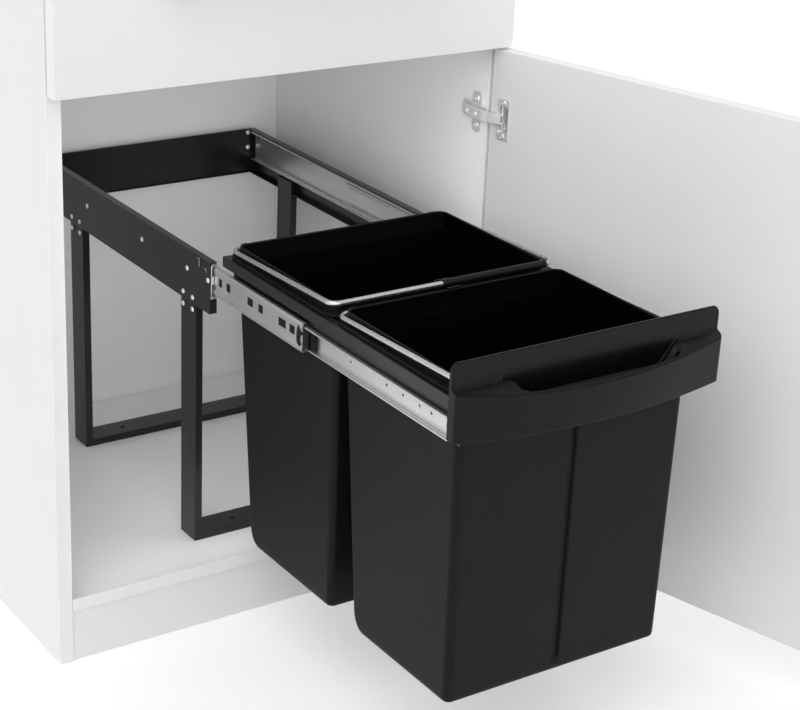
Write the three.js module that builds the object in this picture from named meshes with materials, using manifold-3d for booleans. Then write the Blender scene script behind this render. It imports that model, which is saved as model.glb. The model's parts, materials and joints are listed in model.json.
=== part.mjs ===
// A 600 mm kitchen base cabinet with a drawer above a hinged door. Behind the door
// stands a pull-out frame that carries two lift-out waste bins on telescopic slides.
// It is modelled as it stands in use: door open, bins pulled out, drawer shut.
//
// Millimetres, +Z up, +X right, +Y into the cabinet. The origin is on the floor, in the
// middle of the plinth board's underside.

import * as THREE from "three";
import { mergeVertices } from "three/addons/utils/BufferGeometryUtils.js";
import Module from "manifold-3d";

const wasm = await Module();
wasm.setup();

// ---------------------------------------------------------------- driving dimensions

const GAP = 0.3; // clearance between pieces that touch

// Carcass
const WIDTH = 600;
const HEIGHT = 870;
const BOARD = 18;
const BASE_BOARD = 16;
const BASE_TOP = 82;
const BACK_FRONT = 505; // front face of the back board, behind the carcass front
const BACK_BOARD = 6;
const PLINTH_SETBACK = 2;
const PLINTH_BOARD = 16;
const TOP_RAIL = 80;

// Fronts
const REVEAL = 1.5;
const BUMPER = 2; // air between a shut front and the carcass
const DRAWER_FRONT_Z = 690.5;
const DOOR_TOP = 687.3;
const DOOR_BOTTOM = BASE_TOP - BASE_BOARD;
const HANDLE_SPACING = 320;
const DRAWER_HANDLE_Z = 803;

// Door hinges
const DOOR_PIVOT = [592, -10.5]; // from the carcass's left front corner
const DOOR_OPEN = 105; // degrees, in the modelled pose
const HINGE_HEIGHTS = { upper: 603, lower: 150 };
const CUP_CENTRE = 578;
const CUP_RADIUS = 17.5;
const CUP_DEPTH = 11.5;

// Drawer
const DRAWER_BOX_Z = [705, 825];
const DRAWER_BOX_DEPTH = 450;
const DRAWER_WALL = 15;
const RUNNER_SPACE = 13;

// Pull-out frame
const UNIT_LEFT = 210; // left face of the frame, from the carcass's left side
const UNIT_WIDTH = 331;
const FRAME_FRONT = 22.8;
const FRAME_REAR = 497;
const PLATE = 1.5; // sheet thickness
const PLATE_Z = [399.4, 463.4];
const PLATE_LIP = 10;
const BACK_LIP = 5;
const LEG_FRONTS = { front: 60, rear: 372 };
const LEG_WIDTH = 37;
const LEG_THICK = 10;
const LEG_WALL = 1.2;
const LEG_TOP = 418;

// Telescopic slides
const SLIDE_Z = 440.3;
const SLIDE_SHEET = 1.2;
const OUTER_MEMBER = { x: [1.8, 10.4], tall: 42, y: [24, 488] };
const MIDDLE_MEMBER = { x: [5, 11.6], tall: 35, y: [-177, 233] };
const INNER_MEMBER = { x: [7.6, 13.4], tall: 26, y: [-447, -17] };

// Carriage
const RAIL_X = [6, 16.6];
const RAIL_Z = [426, 465, 477.5];
const RAIL_FRONT = -462;
const RAIL_REAR = { wall: -10, head: 3 };

// Bins
const RIM_X = [10, 321];
const RIM_LENGTH = 230;
const BIN_REAR = { rear: 3.5, front: -227.5 }; // rear edge of each bin's rim
const RIM_RADIUS = 20;
const COLLAR_RADIUS = 12;
const BODY_RADIUS = 9;
const COLLAR_INSET = { side: 10.7, front: 16, rear: 6 }; // the raised edge inside the rim
const BODY_INSET = { side: 7, front: 1.5, rear: 13.5 };
const TAPER = { side: 5, front: 0.5, rear: 30 };
const HEEL = 22; // rounding of the body's lower rear edge
const BIN_BOTTOM = 122;
const SHOULDER_Z = 469;
const FLANGE_Z = [477.8, 480.4];
const RIM_TOP = 491;
const WALL = 2.6;
const GROOVE_TOP = 412;
const WIRE = 2.9; // radius of the bail wire
const GRIP = 4.5; // radius of its sleeve
const WIRE_Z = 491.5; // the bail's front run at rest
const WIRE_SIDE = 16.3; // from the frame's left face to the middle of the wire
const PIVOT_INSET = 2.8; // from a rim's rear edge to the bail's pivot
const PIVOT_Z = 484;
const WIRE_FRONT = 8.5; // from a rim's front edge to the middle of the wire

// Handle panel
const PANEL_X = [-6, 337];
const PANEL_Z = [438, 521];
const PANEL_BACK = -466.5;
const LIP = 3.5;
const BOW_END = -480;
const BOW_FRONT = -501;
const LEDGE_Z = 494;
const LEDGE_FRONT_Z = 480.5;
const RECESS_X = [64, 258];
const RECESS_FLOOR = 446;
const PANEL_WALL = 2.4;

// ---------------------------------------------------------------- finishes

const finish = (color, roughness, metalness = 0) =>
  new THREE.MeshStandardMaterial({ color, roughness, metalness });
const whiteBoard = finish(0xdadada, 0.45);
const backBoard = finish(0xcfcfcf, 0.6);
const blackSteel = finish(0x1c1c1d, 0.5, 0.2);
const zincSteel = finish(0xc9c8c4, 0.32, 0.9);
const nickel = finish(0xc4c3bf, 0.25, 0.95);
const bailSteel = finish(0xa5a6a8, 0.3, 0.9);
const brushedBar = finish(0xb4b4b2, 0.35, 0.9);
const binPlastic = finish(0x161617, 0.6);
const panelPlastic = finish(0x1b1b1c, 0.4);
const nylon = finish(0x101011, 0.5);

// ---------------------------------------------------------------- shape helpers

function toSolid(geometry) {
  const plain = geometry.clone();
  plain.deleteAttribute("normal");
  plain.deleteAttribute("uv");
  const merged = mergeVertices(plain, 1e-4);
  return new wasm.Manifold(
    new wasm.Mesh({
      numProp: 3,
      vertProperties: merged.attributes.position.array,
      triVerts: new Uint32Array(merged.index.array),
    }),
  );
}

function toGeometry(solid) {
  const mesh = solid.getMesh();
  const geometry = new THREE.BufferGeometry();
  geometry.setAttribute("position", new THREE.BufferAttribute(mesh.vertProperties, 3));
  geometry.setIndex(new THREE.BufferAttribute(mesh.triVerts, 1));
  geometry.computeVertexNormals();
  return geometry;
}

const join = (...solids) => solids.reduce((all, next) => all.add(next));
const cut = (solid, ...tools) => tools.reduce((left, tool) => left.subtract(tool), solid);

function block([x0, x1], [y0, y1], [z0, z1]) {
  const box = new THREE.BoxGeometry(x1 - x0, y1 - y0, z1 - z0);
  return toSolid(box.translate((x0 + x1) / 2, (y0 + y1) / 2, (z0 + z1) / 2));
}

function extrude(points, length) {
  const shape = new THREE.Shape(points.map(([a, b]) => new THREE.Vector2(a, b)));
  return new THREE.ExtrudeGeometry(shape, { depth: length, bevelEnabled: false });
}

// Prisms: an outline in (y, z), (x, z) or (x, y), carried along the third axis.
function prismX(points, [x0, x1]) {
  const turn = new THREE.Matrix4().makeBasis(
    new THREE.Vector3(0, 1, 0),
    new THREE.Vector3(0, 0, 1),
    new THREE.Vector3(1, 0, 0),
  );
  return toSolid(extrude(points, x1 - x0).applyMatrix4(turn).translate(x0, 0, 0));
}

function prismY(points, [y0, y1]) {
  return toSolid(extrude(points, y1 - y0).rotateX(Math.PI / 2).translate(0, y1, 0));
}

function prismZ(points, [z0, z1]) {
  return toSolid(extrude(points, z1 - z0).translate(0, 0, z0));
}

// A round bar or hole from one point to another.
function rod(from, to, radius, sides = 16) {
  const a = new THREE.Vector3(...from);
  const b = new THREE.Vector3(...to);
  const along = b.clone().sub(a);
  const bar = new THREE.CylinderGeometry(radius, radius, along.length(), sides);
  const turn = new THREE.Quaternion().setFromUnitVectors(
    new THREE.Vector3(0, 1, 0),
    along.normalize(),
  );
  const middle = a.add(b).multiplyScalar(0.5);
  return toSolid(bar.applyQuaternion(turn).translate(middle.x, middle.y, middle.z));
}

// The same outline seen from the other side of the frame's middle.
const mirrored = (points) => points.map(([x, z]) => [UNIT_WIDTH - x, z]).reverse();
const sided = (points, side) => (side === "left" ? points : mirrored(points));
const sidedX = ([x0, x1], side) =>
  side === "left" ? [x0, x1] : [UNIT_WIDTH - x1, UNIT_WIDTH - x0];

// A sheet folded to a C: a web with two lips of equal depth.
function channel([x0, x1], [z0, z1], sheet, opensRight = true) {
  const web = opensRight ? x0 : x1;
  const lip = opensRight ? x1 : x0;
  const inner = opensRight ? web + sheet : web - sheet;
  return [
    [web, z0],
    [lip, z0],
    [lip, z0 + sheet],
    [inner, z0 + sheet],
    [inner, z1 - sheet],
    [lip, z1 - sheet],
    [lip, z1],
    [web, z1],
  ];
}

// A closed tube whose rings stand on the given points.
class Route extends THREE.Curve {
  constructor(points) {
    super();
    this.points = points;
  }
  getPoint(t) {
    const last = this.points.length - 1;
    const at = Math.min(Math.max(t, 0), 1) * last;
    const i = Math.min(Math.floor(at), last - 1);
    return this.points[i].clone().lerp(this.points[i + 1], at - i);
  }
  getPointAt(u) {
    return this.getPoint(u);
  }
  getTangentAt(u) {
    const last = this.points.length - 1;
    const i = Math.round(u * last);
    const before = this.points[Math.max(i - 1, 0)];
    const after = this.points[Math.min(i + 1, last)];
    return after.clone().sub(before).normalize();
  }
}

function circle(radius, sides) {
  const step = (2 * Math.PI) / sides;
  return Array.from({ length: sides }, (_, i) => [
    radius * Math.cos((i + 0.5) * step),
    radius * Math.sin((i + 0.5) * step),
  ]);
}

function tube(points, radius, sides = 8) {
  const shape = new THREE.Shape(
    circle(radius, sides).map(([a, b]) => new THREE.Vector2(a, b)),
  );
  const path = new Route(points);
  return new THREE.ExtrudeGeometry(shape, {
    steps: points.length - 1,
    extrudePath: path,
    bevelEnabled: false,
  });
}

// A quarter bend between two straight runs, as points.
function bend(from, corner, to, radius, count = 5) {
  const c = new THREE.Vector3(...corner);
  const inward = new THREE.Vector3(...from).sub(c).normalize();
  const outward = new THREE.Vector3(...to).sub(c).normalize();
  const centre = c.clone().addScaledVector(inward, radius).addScaledVector(outward, radius);
  return Array.from({ length: count }, (_, i) => {
    const angle = (i / (count - 1)) * (Math.PI / 2);
    return centre
      .clone()
      .addScaledVector(outward, -radius * Math.cos(angle))
      .addScaledVector(inward, -radius * Math.sin(angle));
  });
}

// ---------------------------------------------------------------- the scene graph

const assembly = new THREE.Group();

const cabinet = new THREE.Group();
cabinet.position.set(-WIDTH / 2, -(PLINTH_SETBACK + PLINTH_BOARD / 2), 0);
assembly.add(cabinet);

const door = new THREE.Group();
door.position.set(...DOOR_PIVOT, 0);
door.rotation.z = THREE.MathUtils.degToRad(DOOR_OPEN);
cabinet.add(door);

const unit = new THREE.Group();
unit.position.set(UNIT_LEFT, 0, 0);
cabinet.add(unit);

function place(parent, name, shape, material) {
  const geometry = shape.isBufferGeometry ? shape : toGeometry(shape);
  const mesh = new THREE.Mesh(geometry, material);
  mesh.name = name;
  parent.add(mesh);
}

// ---------------------------------------------------------------- carcass

const INSIDE_X = [BOARD + GAP, WIDTH - BOARD - GAP];
const CARCASS_REAR = BACK_FRONT + BACK_BOARD;

function carcass() {
  const side = [0, CARCASS_REAR];
  place(cabinet, "side_panel_left", block([0, BOARD], side, [0, HEIGHT]), whiteBoard);
  place(
    cabinet,
    "side_panel_right",
    block([WIDTH - BOARD, WIDTH], side, [0, HEIGHT]),
    whiteBoard,
  );
  place(
    cabinet,
    "base_panel",
    block(INSIDE_X, [0, BACK_FRONT - GAP], [DOOR_BOTTOM, BASE_TOP]),
    whiteBoard,
  );
  place(
    cabinet,
    "back_panel",
    block(INSIDE_X, [BACK_FRONT, CARCASS_REAR], [DOOR_BOTTOM, HEIGHT]),
    backBoard,
  );
  place(
    cabinet,
    "plinth_board",
    block(
      INSIDE_X,
      [PLINTH_SETBACK, PLINTH_SETBACK + PLINTH_BOARD],
      [0, DOOR_BOTTOM - GAP],
    ),
    whiteBoard,
  );
  const rails = { front: 0, rear: BACK_FRONT - GAP - TOP_RAIL };
  for (const [where, y] of Object.entries(rails))
    place(
      cabinet,
      `top_rail_${where}`,
      block(INSIDE_X, [y, y + TOP_RAIL], [HEIGHT - BOARD, HEIGHT]),
      whiteBoard,
    );
}

// ---------------------------------------------------------------- bar handles

const BAR_RADIUS = 6;
const BAR_STAND_OFF = 32;

// A bar on two posts. Both lie in the plane through the bar's middle and the front.
function barHandle(middle, along, outward) {
  const at = (a, out) =>
    new THREE.Vector3(...middle).addScaledVector(along, a).addScaledVector(outward, out);
  const reach = HANDLE_SPACING / 2;
  const bar = rod(
    at(-reach - 20, BAR_STAND_OFF).toArray(),
    at(reach + 20, BAR_STAND_OFF).toArray(),
    BAR_RADIUS,
  );
  const posts = [-reach, reach].map((a) =>
    rod(at(a, GAP).toArray(), at(a, BAR_STAND_OFF).toArray(), 5, 12),
  );
  return join(bar, ...posts);
}

// ---------------------------------------------------------------- door

const FRONT_X = [REVEAL, WIDTH - REVEAL];
const FRONT_Y = [-BUMPER - BOARD, -BUMPER];

// Carcass coordinates with the door shut, moved so that its pivot is at zero.
const fromPivot = (x, y) => [x - DOOR_PIVOT[0], y - DOOR_PIVOT[1]];

function doorPanel() {
  const [x0, y0] = fromPivot(FRONT_X[0], FRONT_Y[0]);
  const [x1, y1] = fromPivot(FRONT_X[1], FRONT_Y[1]);
  const cupX = CUP_CENTRE - DOOR_PIVOT[0];
  const holes = Object.values(HINGE_HEIGHTS).map((z) =>
    rod([cupX, y1 - CUP_DEPTH - 0.5, z], [cupX, y1 + 5, z], CUP_RADIUS + GAP, 32),
  );
  const panel = cut(block([x0, x1], [y0, y1], [DOOR_BOTTOM, DOOR_TOP]), ...holes);
  place(door, "door_panel", panel, whiteBoard);
  const handleZ = DOOR_TOP - 40 - HANDLE_SPACING / 2 - 20;
  place(
    door,
    "door_handle",
    barHandle(
      [x0 + 45, y0, handleZ],
      new THREE.Vector3(0, 0, 1),
      new THREE.Vector3(0, -1, 0),
    ),
    brushedBar,
  );
}

// The hinge's cup: a round pan let into the door, with an oblong screw flange on it.
function hingeCup(name, z) {
  const [x, face] = fromPivot(CUP_CENTRE, FRONT_Y[1]);
  const pan = rod([x, face - CUP_DEPTH, z], [x, face + 1, z], CUP_RADIUS, 32);
  const flange = block([x - 9, x + 9], [face + GAP, face + 1.5], [z - 26, z + 26]);
  const disc = rod([x, face + GAP, z], [x, face + 1.5, z], CUP_RADIUS + 1, 32);
  const hollow = rod(
    [x, face - CUP_DEPTH + 1, z],
    [x, face + 5, z],
    CUP_RADIUS - 1,
    32,
  );
  place(door, name, cut(join(pan, flange, disc), hollow), nickel);
}

// The cross-shaped plate screwed to the side panel, with the ridge that the arm clips to.
function hingeMountingPlate(name, z) {
  const face = WIDTH - BOARD - GAP;
  const sheet = [face - 2, face];
  const upright = block(sheet, [10, 28], [z - 25, z + 25]);
  const foot = block(sheet, [3, 48], [z - 10, z + 10]);
  const ridge = block([face - 4.4, face - 1], [6, 42], [z - 5, z + 5]);
  place(cabinet, name, join(upright, foot, ridge), nickel);
}

// The arm: clipped on its plate, it leaves the cabinet and dips its nose into the cup.
function hingeArm(name, z) {
  const outline = [
    [568, 36],
    [568, 3],
    [571, -3],
    [576, -14],
    [583, -26],
    [588.5, -25],
    [588.5, -20],
    [581.5, -13.5],
    [578.5, -4],
    [576.9, 3],
    [576.9, 36],
  ];
  const arm = prismZ(outline, [z - 6, z + 6]);
  const hollow = block([571, 577.5], [9, 50], [z - 4.4, z + 4.4]);
  place(cabinet, name, cut(arm, hollow), nickel);
}

// ---------------------------------------------------------------- drawer

const BOX_X = [BOARD + RUNNER_SPACE, WIDTH - BOARD - RUNNER_SPACE];
const BOX_FRONT = FRONT_Y[1] + GAP;
const BOX_REAR = BOX_FRONT + DRAWER_BOX_DEPTH;
const RUNNER_Z = 752;
const RUNNER_TALL = 42;

function drawer() {
  const [z0, z1] = DRAWER_BOX_Z;
  const [x0, x1] = BOX_X;
  const front = block(FRONT_X, FRONT_Y, [DRAWER_FRONT_Z, HEIGHT - 3]);
  place(cabinet, "drawer_front", front, whiteBoard);
  place(
    cabinet,
    "drawer_handle",
    barHandle(
      [WIDTH / 2, FRONT_Y[0], DRAWER_HANDLE_Z],
      new THREE.Vector3(1, 0, 0),
      new THREE.Vector3(0, -1, 0),
    ),
    brushedBar,
  );
  const walls = { left: [x0, x0 + DRAWER_WALL], right: [x1 - DRAWER_WALL, x1] };
  for (const [side, x] of Object.entries(walls))
    place(cabinet, `drawer_side_${side}`, block(x, [BOX_FRONT, BOX_REAR], [z0, z1]), whiteBoard);
  const inner = [x0 + DRAWER_WALL + GAP, x1 - DRAWER_WALL - GAP];
  const ends = {
    inner_front: [BOX_FRONT, BOX_FRONT + DRAWER_WALL],
    back: [BOX_REAR - DRAWER_WALL, BOX_REAR],
  };
  for (const [end, y] of Object.entries(ends))
    place(cabinet, `drawer_${end}`, block(inner, y, [z0 + 16, z1]), whiteBoard);
  const bottom = block(inner, [BOX_FRONT, BOX_REAR], [z0 + 8, z0 + 16 - GAP]);
  place(cabinet, "drawer_bottom", bottom, backBoard);
}

// Each drawer runner: a channel on the side panel and a narrower one on the drawer.
function drawerRunners() {
  const half = RUNNER_TALL / 2;
  const fixedZ = [RUNNER_Z - half, RUNNER_Z + half];
  const movingZ = [RUNNER_Z - half + 4, RUNNER_Z + half - 4];
  for (const side of ["left", "right"]) {
    const left = side === "left";
    const wall = left ? BOARD + GAP : WIDTH - BOARD - GAP;
    const box = left ? BOX_X[0] - GAP : BOX_X[1] + GAP;
    const out = left ? 1 : -1;
    const fixedX = [wall, wall + 10 * out].sort((a, b) => a - b);
    const movingX = [box - 8 * out, box].sort((a, b) => a - b);
    const fixed = prismY(channel(fixedX, fixedZ, 1.3, left), [4, 454]);
    const moving = prismY(channel(movingX, movingZ, 1.3, !left), [2, 448]);
    place(cabinet, `drawer_runner_fixed_${side}`, fixed, zincSteel);
    place(cabinet, `drawer_runner_moving_${side}`, moving, zincSteel);
  }
}

// ---------------------------------------------------------------- pull-out frame

// A side plate: a channel with inward lips, its front end closed by a folded tab. The
// lower lip is notched where the legs pass.
function framePlate(side) {
  const profile = sided(channel([0, PLATE_LIP], PLATE_Z, PLATE), side);
  const rear = FRAME_REAR - PLATE - GAP;
  const plate = prismY(profile, [FRAME_FRONT, rear]);
  const tab = block(
    sidedX([0, PLATE_LIP], side),
    [FRAME_FRONT, FRAME_FRONT + PLATE],
    [PLATE_Z[0], SLIDE_Z - OUTER_MEMBER.tall / 2 - 1.5],
  );
  const notches = Object.values(LEG_FRONTS).map((front) =>
    block(
      sidedX([PLATE, PLATE_LIP + 1], side),
      [front - 0.5, front + LEG_WIDTH + 0.5],
      [PLATE_Z[0] - 1, PLATE_Z[0] + PLATE + 1],
    ),
  );
  place(unit, `frame_plate_${side}`, cut(join(plate, tab), ...notches), blackSteel);
}

// The rear plate: an upright sheet with a bottom lip that points forward.
function frameBackPlate() {
  const y = [FRAME_REAR - PLATE, FRAME_REAR];
  const sheet = block([0, UNIT_WIDTH], y, PLATE_Z);
  const lip = block(
    [PLATE_LIP + 1, UNIT_WIDTH - PLATE_LIP - 1],
    [FRAME_REAR - BACK_LIP, FRAME_REAR - 0.5],
    [PLATE_Z[0], PLATE_Z[0] + PLATE],
  );
  place(unit, "frame_plate_back", join(sheet, lip), blackSteel);
}

// A leg frame: a flat steel tube bent to a U, with its foot bar on the base panel.
function legFrame(name, front) {
  const left = PLATE + GAP;
  const right = UNIT_WIDTH - PLATE - GAP;
  const floor = BASE_TOP + GAP;
  const bent = (inset, top) => {
    const x0 = left + inset;
    const x1 = right - inset;
    const t = LEG_THICK - 2 * inset;
    const z0 = floor + inset;
    return [
      [x0, z0],
      [x1, z0],
      [x1, top],
      [x1 - t, top],
      [x1 - t, z0 + t],
      [x0 + t, z0 + t],
      [x0 + t, top],
      [x0, top],
    ];
  };
  const y = [front, front + LEG_WIDTH];
  const outside = prismY(bent(0, LEG_TOP), y);
  const inside = prismY(bent(LEG_WALL, LEG_TOP + 5), [y[0] + LEG_WALL, y[1] - LEG_WALL]);
  place(unit, name, cut(outside, inside), blackSteel);
}

// ---------------------------------------------------------------- telescopic slides

const tallAbout = (tall) => [SLIDE_Z - tall / 2, SLIDE_Z + tall / 2];

// Windows punched in the middle member's web: distance behind its front end, and length.
const WINDOWS = [
  [17, 11.5],
  [36, 16.5],
  [86.5, 10.5],
  [109, 13],
];

function slide(side) {
  const { x: outerX, y: outerY } = OUTER_MEMBER;
  const outer = sided(channel(outerX, tallAbout(OUTER_MEMBER.tall), SLIDE_SHEET), side);
  place(unit, `slide_outer_${side}`, prismY(outer, outerY), zincSteel);

  const { x: middleX, y: middleY } = MIDDLE_MEMBER;
  const middle = sided(channel(middleX, tallAbout(MIDDLE_MEMBER.tall), SLIDE_SHEET), side);
  const windows = WINDOWS.map(([at, length]) =>
    block(
      sidedX([middleX[0] - 1, middleX[0] + 2], side),
      [middleY[0] + at, middleY[0] + at + length],
      [SLIDE_Z - 2, SLIDE_Z + 9],
    ),
  );
  place(
    unit,
    `slide_middle_${side}`,
    cut(prismY(middle, middleY), ...windows),
    zincSteel,
  );

  const { x: innerX, y: innerY } = INNER_MEMBER;
  const facing = channel(innerX, tallAbout(INNER_MEMBER.tall), SLIDE_SHEET, false);
  place(unit, `slide_inner_${side}`, prismY(sided(facing, side), innerY), zincSteel);
}

// The ball retainers: thin folded strips that run between two members.
const RETAINERS = {
  outer: { x: [3.4, 10.5], tall: 37.4, sheet: 0.6, y: [60, 250] },
  inner: { x: [6.6, 11.2], tall: 29.6, sheet: 0.6, y: [-166, 20] },
};

function ballRetainers(side) {
  for (const [which, { x, tall, sheet, y }] of Object.entries(RETAINERS)) {
    const profile = sided(channel(x, tallAbout(tall), sheet), side);
    place(unit, `ball_retainer_${which}_${side}`, prismY(profile, y), zincSteel);
  }
}

// The nylon stop at the front end of each middle member.
function slideStop(side) {
  const front = MIDDLE_MEMBER.y[0];
  const body = block(
    sidedX([7.9, 11.9], side),
    [front - 22, front - GAP],
    [SLIDE_Z - 10.5, SLIDE_Z + 10.5],
  );
  const nose = block(
    sidedX([5.4, 9], side),
    [front - 12, front - GAP],
    [SLIDE_Z - 10.5, SLIDE_Z + 10.5],
  );
  place(unit, `slide_stop_${side}`, join(body, nose), nylon);
}

// ---------------------------------------------------------------- carriage

// A rail: its wall is screwed to the slide, and its head steps out over the slide. The
// head is longer than the wall, because it passes over the frame's rear plate.
function carriageRail(side) {
  const [head0, head1] = RAIL_X;
  const wall0 = INNER_MEMBER.x[1] + GAP;
  const wall1 = wall0 + PLATE;
  const [low, shelf, top] = RAIL_Z;
  const head = [
    [head0, shelf],
    [wall1, shelf],
    [wall1, shelf + PLATE],
    [head0 + PLATE, shelf + PLATE],
    [head0 + PLATE, top - PLATE],
    [head1, top - PLATE],
    [head1, top],
    [head0, top],
  ];
  const upper = prismY(sided(head, side), [RAIL_FRONT, RAIL_REAR.head]);
  const wall = block(
    sidedX([wall0, wall1], side),
    [RAIL_FRONT, RAIL_REAR.wall],
    [low, shelf + PLATE / 2],
  );
  place(unit, `carriage_rail_${side}`, join(upper, wall), blackSteel);
}

// Cross members tie the two rails behind, between and in front of the bins.
function crossMembers() {
  const inner = INNER_MEMBER.x[1] + 2 * GAP + PLATE;
  const x = [inner, UNIT_WIDTH - inner];
  const under = RAIL_Z[2] - PLATE - GAP;
  const between = (BIN_REAR.rear - RIM_LENGTH + BIN_REAR.front) / 2;
  const bars = {
    rear: block(x, [-1.5, 2.5], [RAIL_Z[1], under]),
    middle: block(x, [between - 8, between - 2.5], [458, under - 2.5]),
    front: block(x, [PANEL_BACK + GAP, RAIL_FRONT - GAP], [440, under]),
  };
  for (const [where, bar] of Object.entries(bars))
    place(unit, `carriage_cross_${where}`, bar, blackSteel);
}

// ---------------------------------------------------------------- handle panel

// The panel seen from above: straight behind, bowed in front, with its corners cut off.
function bowOutline(inset, back) {
  const [x0, x1] = [PANEL_X[0] + inset, PANEL_X[1] - inset];
  const middle = (x0 + x1) / 2;
  const half = (x1 - x0) / 2;
  const sag = BOW_END - BOW_FRONT;
  const corner = 3;
  const points = [
    [x1, back],
    [x0, back],
    [x0, BOW_END + corner + inset],
  ];
  for (let i = 0; i <= 16; i++) {
    const t = -1 + i / 8;
    const reach = Math.abs(t) === 1 ? half - corner : half;
    points.push([middle + t * reach, BOW_FRONT + inset + sag * t * t]);
  }
  points.push([x1, BOW_END + corner + inset]);
  return points;
}

// The finger recess, seen from above: deep behind the bow, with rounded ends.
function recessOutline(grow) {
  const [x0, x1] = [RECESS_X[0] - grow, RECESS_X[1] + grow];
  const back = PANEL_BACK - LIP - 1 + grow;
  const front = BOW_FRONT + PANEL_WALL + 3 - grow;
  const middle = (x0 + x1) / 2;
  const half = (x1 - x0) / 2;
  const points = [
    [x1, back],
    [x0, back],
  ];
  for (let i = 0; i <= 12; i++) {
    const t = -1 + i / 6;
    const flare = 1 - t ** 4;
    points.push([middle + t * half, back - 6 + (front - back + 6) * flare]);
  }
  return points;
}

// The lip that stands behind the ledge, with rounded upper corners.
function lipOutline() {
  const [x0, x1] = PANEL_X;
  const top = PANEL_Z[1];
  const radius = 8;
  const arc = (cx, start) =>
    Array.from({ length: 5 }, (_, i) => {
      const angle = start + (i * Math.PI) / 8;
      return [cx + radius * Math.cos(angle), top - radius + radius * Math.sin(angle)];
    });
  const foot = LEDGE_Z - PANEL_WALL;
  return [[x0, foot], [x1, foot], ...arc(x1 - radius, 0), ...arc(x0 + radius, Math.PI / 2)];
}

// A hollow moulding, open below and behind, so that the frame's front ends go into it
// when it is pushed home. Its back wall, between them, is screwed to the carriage.
function handlePanel() {
  const z0 = PANEL_Z[0];
  const slope = [
    [PANEL_BACK + 10, z0 - 20],
    [BOW_FRONT - 10, z0 - 20],
    [BOW_FRONT - 10, LEDGE_FRONT_Z - 2],
    [BOW_FRONT, LEDGE_FRONT_Z],
    [PANEL_BACK - LIP, LEDGE_Z],
    [PANEL_BACK + 10, LEDGE_Z],
  ];
  const underSlope = slope.map(([y, z]) => [y, z - PANEL_WALL]);
  const across = [PANEL_X[0] - 5, PANEL_X[1] + 5];
  const outside = prismZ(bowOutline(0, PANEL_BACK), [z0, LEDGE_Z]);
  const inside = prismZ(bowOutline(PANEL_WALL, PANEL_BACK + 5), [z0 - 5, LEDGE_Z]);
  const body = outside.intersect(prismX(slope, across));
  const hollow = inside.intersect(prismX(underSlope, across));
  const pan = prismZ(recessOutline(PANEL_WALL), [RECESS_FLOOR - PANEL_WALL, LEDGE_Z]);
  const recess = prismZ(recessOutline(0), [RECESS_FLOOR, LEDGE_Z + 5]);
  const shell = cut(cut(body, hollow.subtract(pan)), recess);
  const thickness = [PANEL_BACK - LIP, PANEL_BACK];
  const lip = prismY(lipOutline(), thickness);
  const backWall = block([17, UNIT_WIDTH - 17], thickness, [z0 + 4, LEDGE_Z - 1]);
  place(unit, "handle_panel", join(shell, lip, backWall), panelPlastic);
}

// ---------------------------------------------------------------- bins

// One level of a bin: a rounded rectangle with a notch in the middle of its front side.
function binLoop([x0, x1], [y0, y1], radius, z, notch = 0) {
  const steps = 5;
  const middle = (x0 + x1) / 2;
  const points = [
    [middle - 5, y0],
    [middle - 3, y0 + notch],
    [middle + 3, y0 + notch],
    [middle + 5, y0],
  ];
  const corners = [
    [x1 - radius, y0 + radius, -Math.PI / 2],
    [x1 - radius, y1 - radius, 0],
    [x0 + radius, y1 - radius, Math.PI / 2],
    [x0 + radius, y0 + radius, Math.PI],
  ];
  for (const [cx, cy, start] of corners)
    for (let i = 0; i <= steps; i++) {
      const angle = start + (i / steps) * (Math.PI / 2);
      points.push([cx + radius * Math.cos(angle), cy + radius * Math.sin(angle)]);
    }
  return points.map(([x, y]) => [x, y, z]);
}

// Skins a stack of loops, and closes the first and the last with a fan.
function loft(loops) {
  const count = loops[0].length;
  const mean = (loop, k) => loop.reduce((sum, p) => sum + p[k], 0) / count;
  const positions = loops.flat(2);
  const index = [];
  for (let level = 0; level + 1 < loops.length; level++)
    for (let i = 0; i < count; i++) {
      const a = level * count + i;
      const b = level * count + ((i + 1) % count);
      index.push(a, b, b + count, a, b + count, a + count);
    }
  for (const [level, flip] of [
    [0, true],
    [loops.length - 1, false],
  ]) {
    const centre = positions.length / 3;
    positions.push(mean(loops[level], 0), mean(loops[level], 1), loops[level][0][2]);
    for (let i = 0; i < count; i++) {
      const a = level * count + i;
      const b = level * count + ((i + 1) % count);
      index.push(...(flip ? [b, a, centre] : [a, b, centre]));
    }
  }
  const geometry = new THREE.BufferGeometry();
  geometry.setAttribute("position", new THREE.Float32BufferAttribute(positions, 3));
  geometry.setIndex(index);
  return toSolid(geometry);
}

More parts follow.
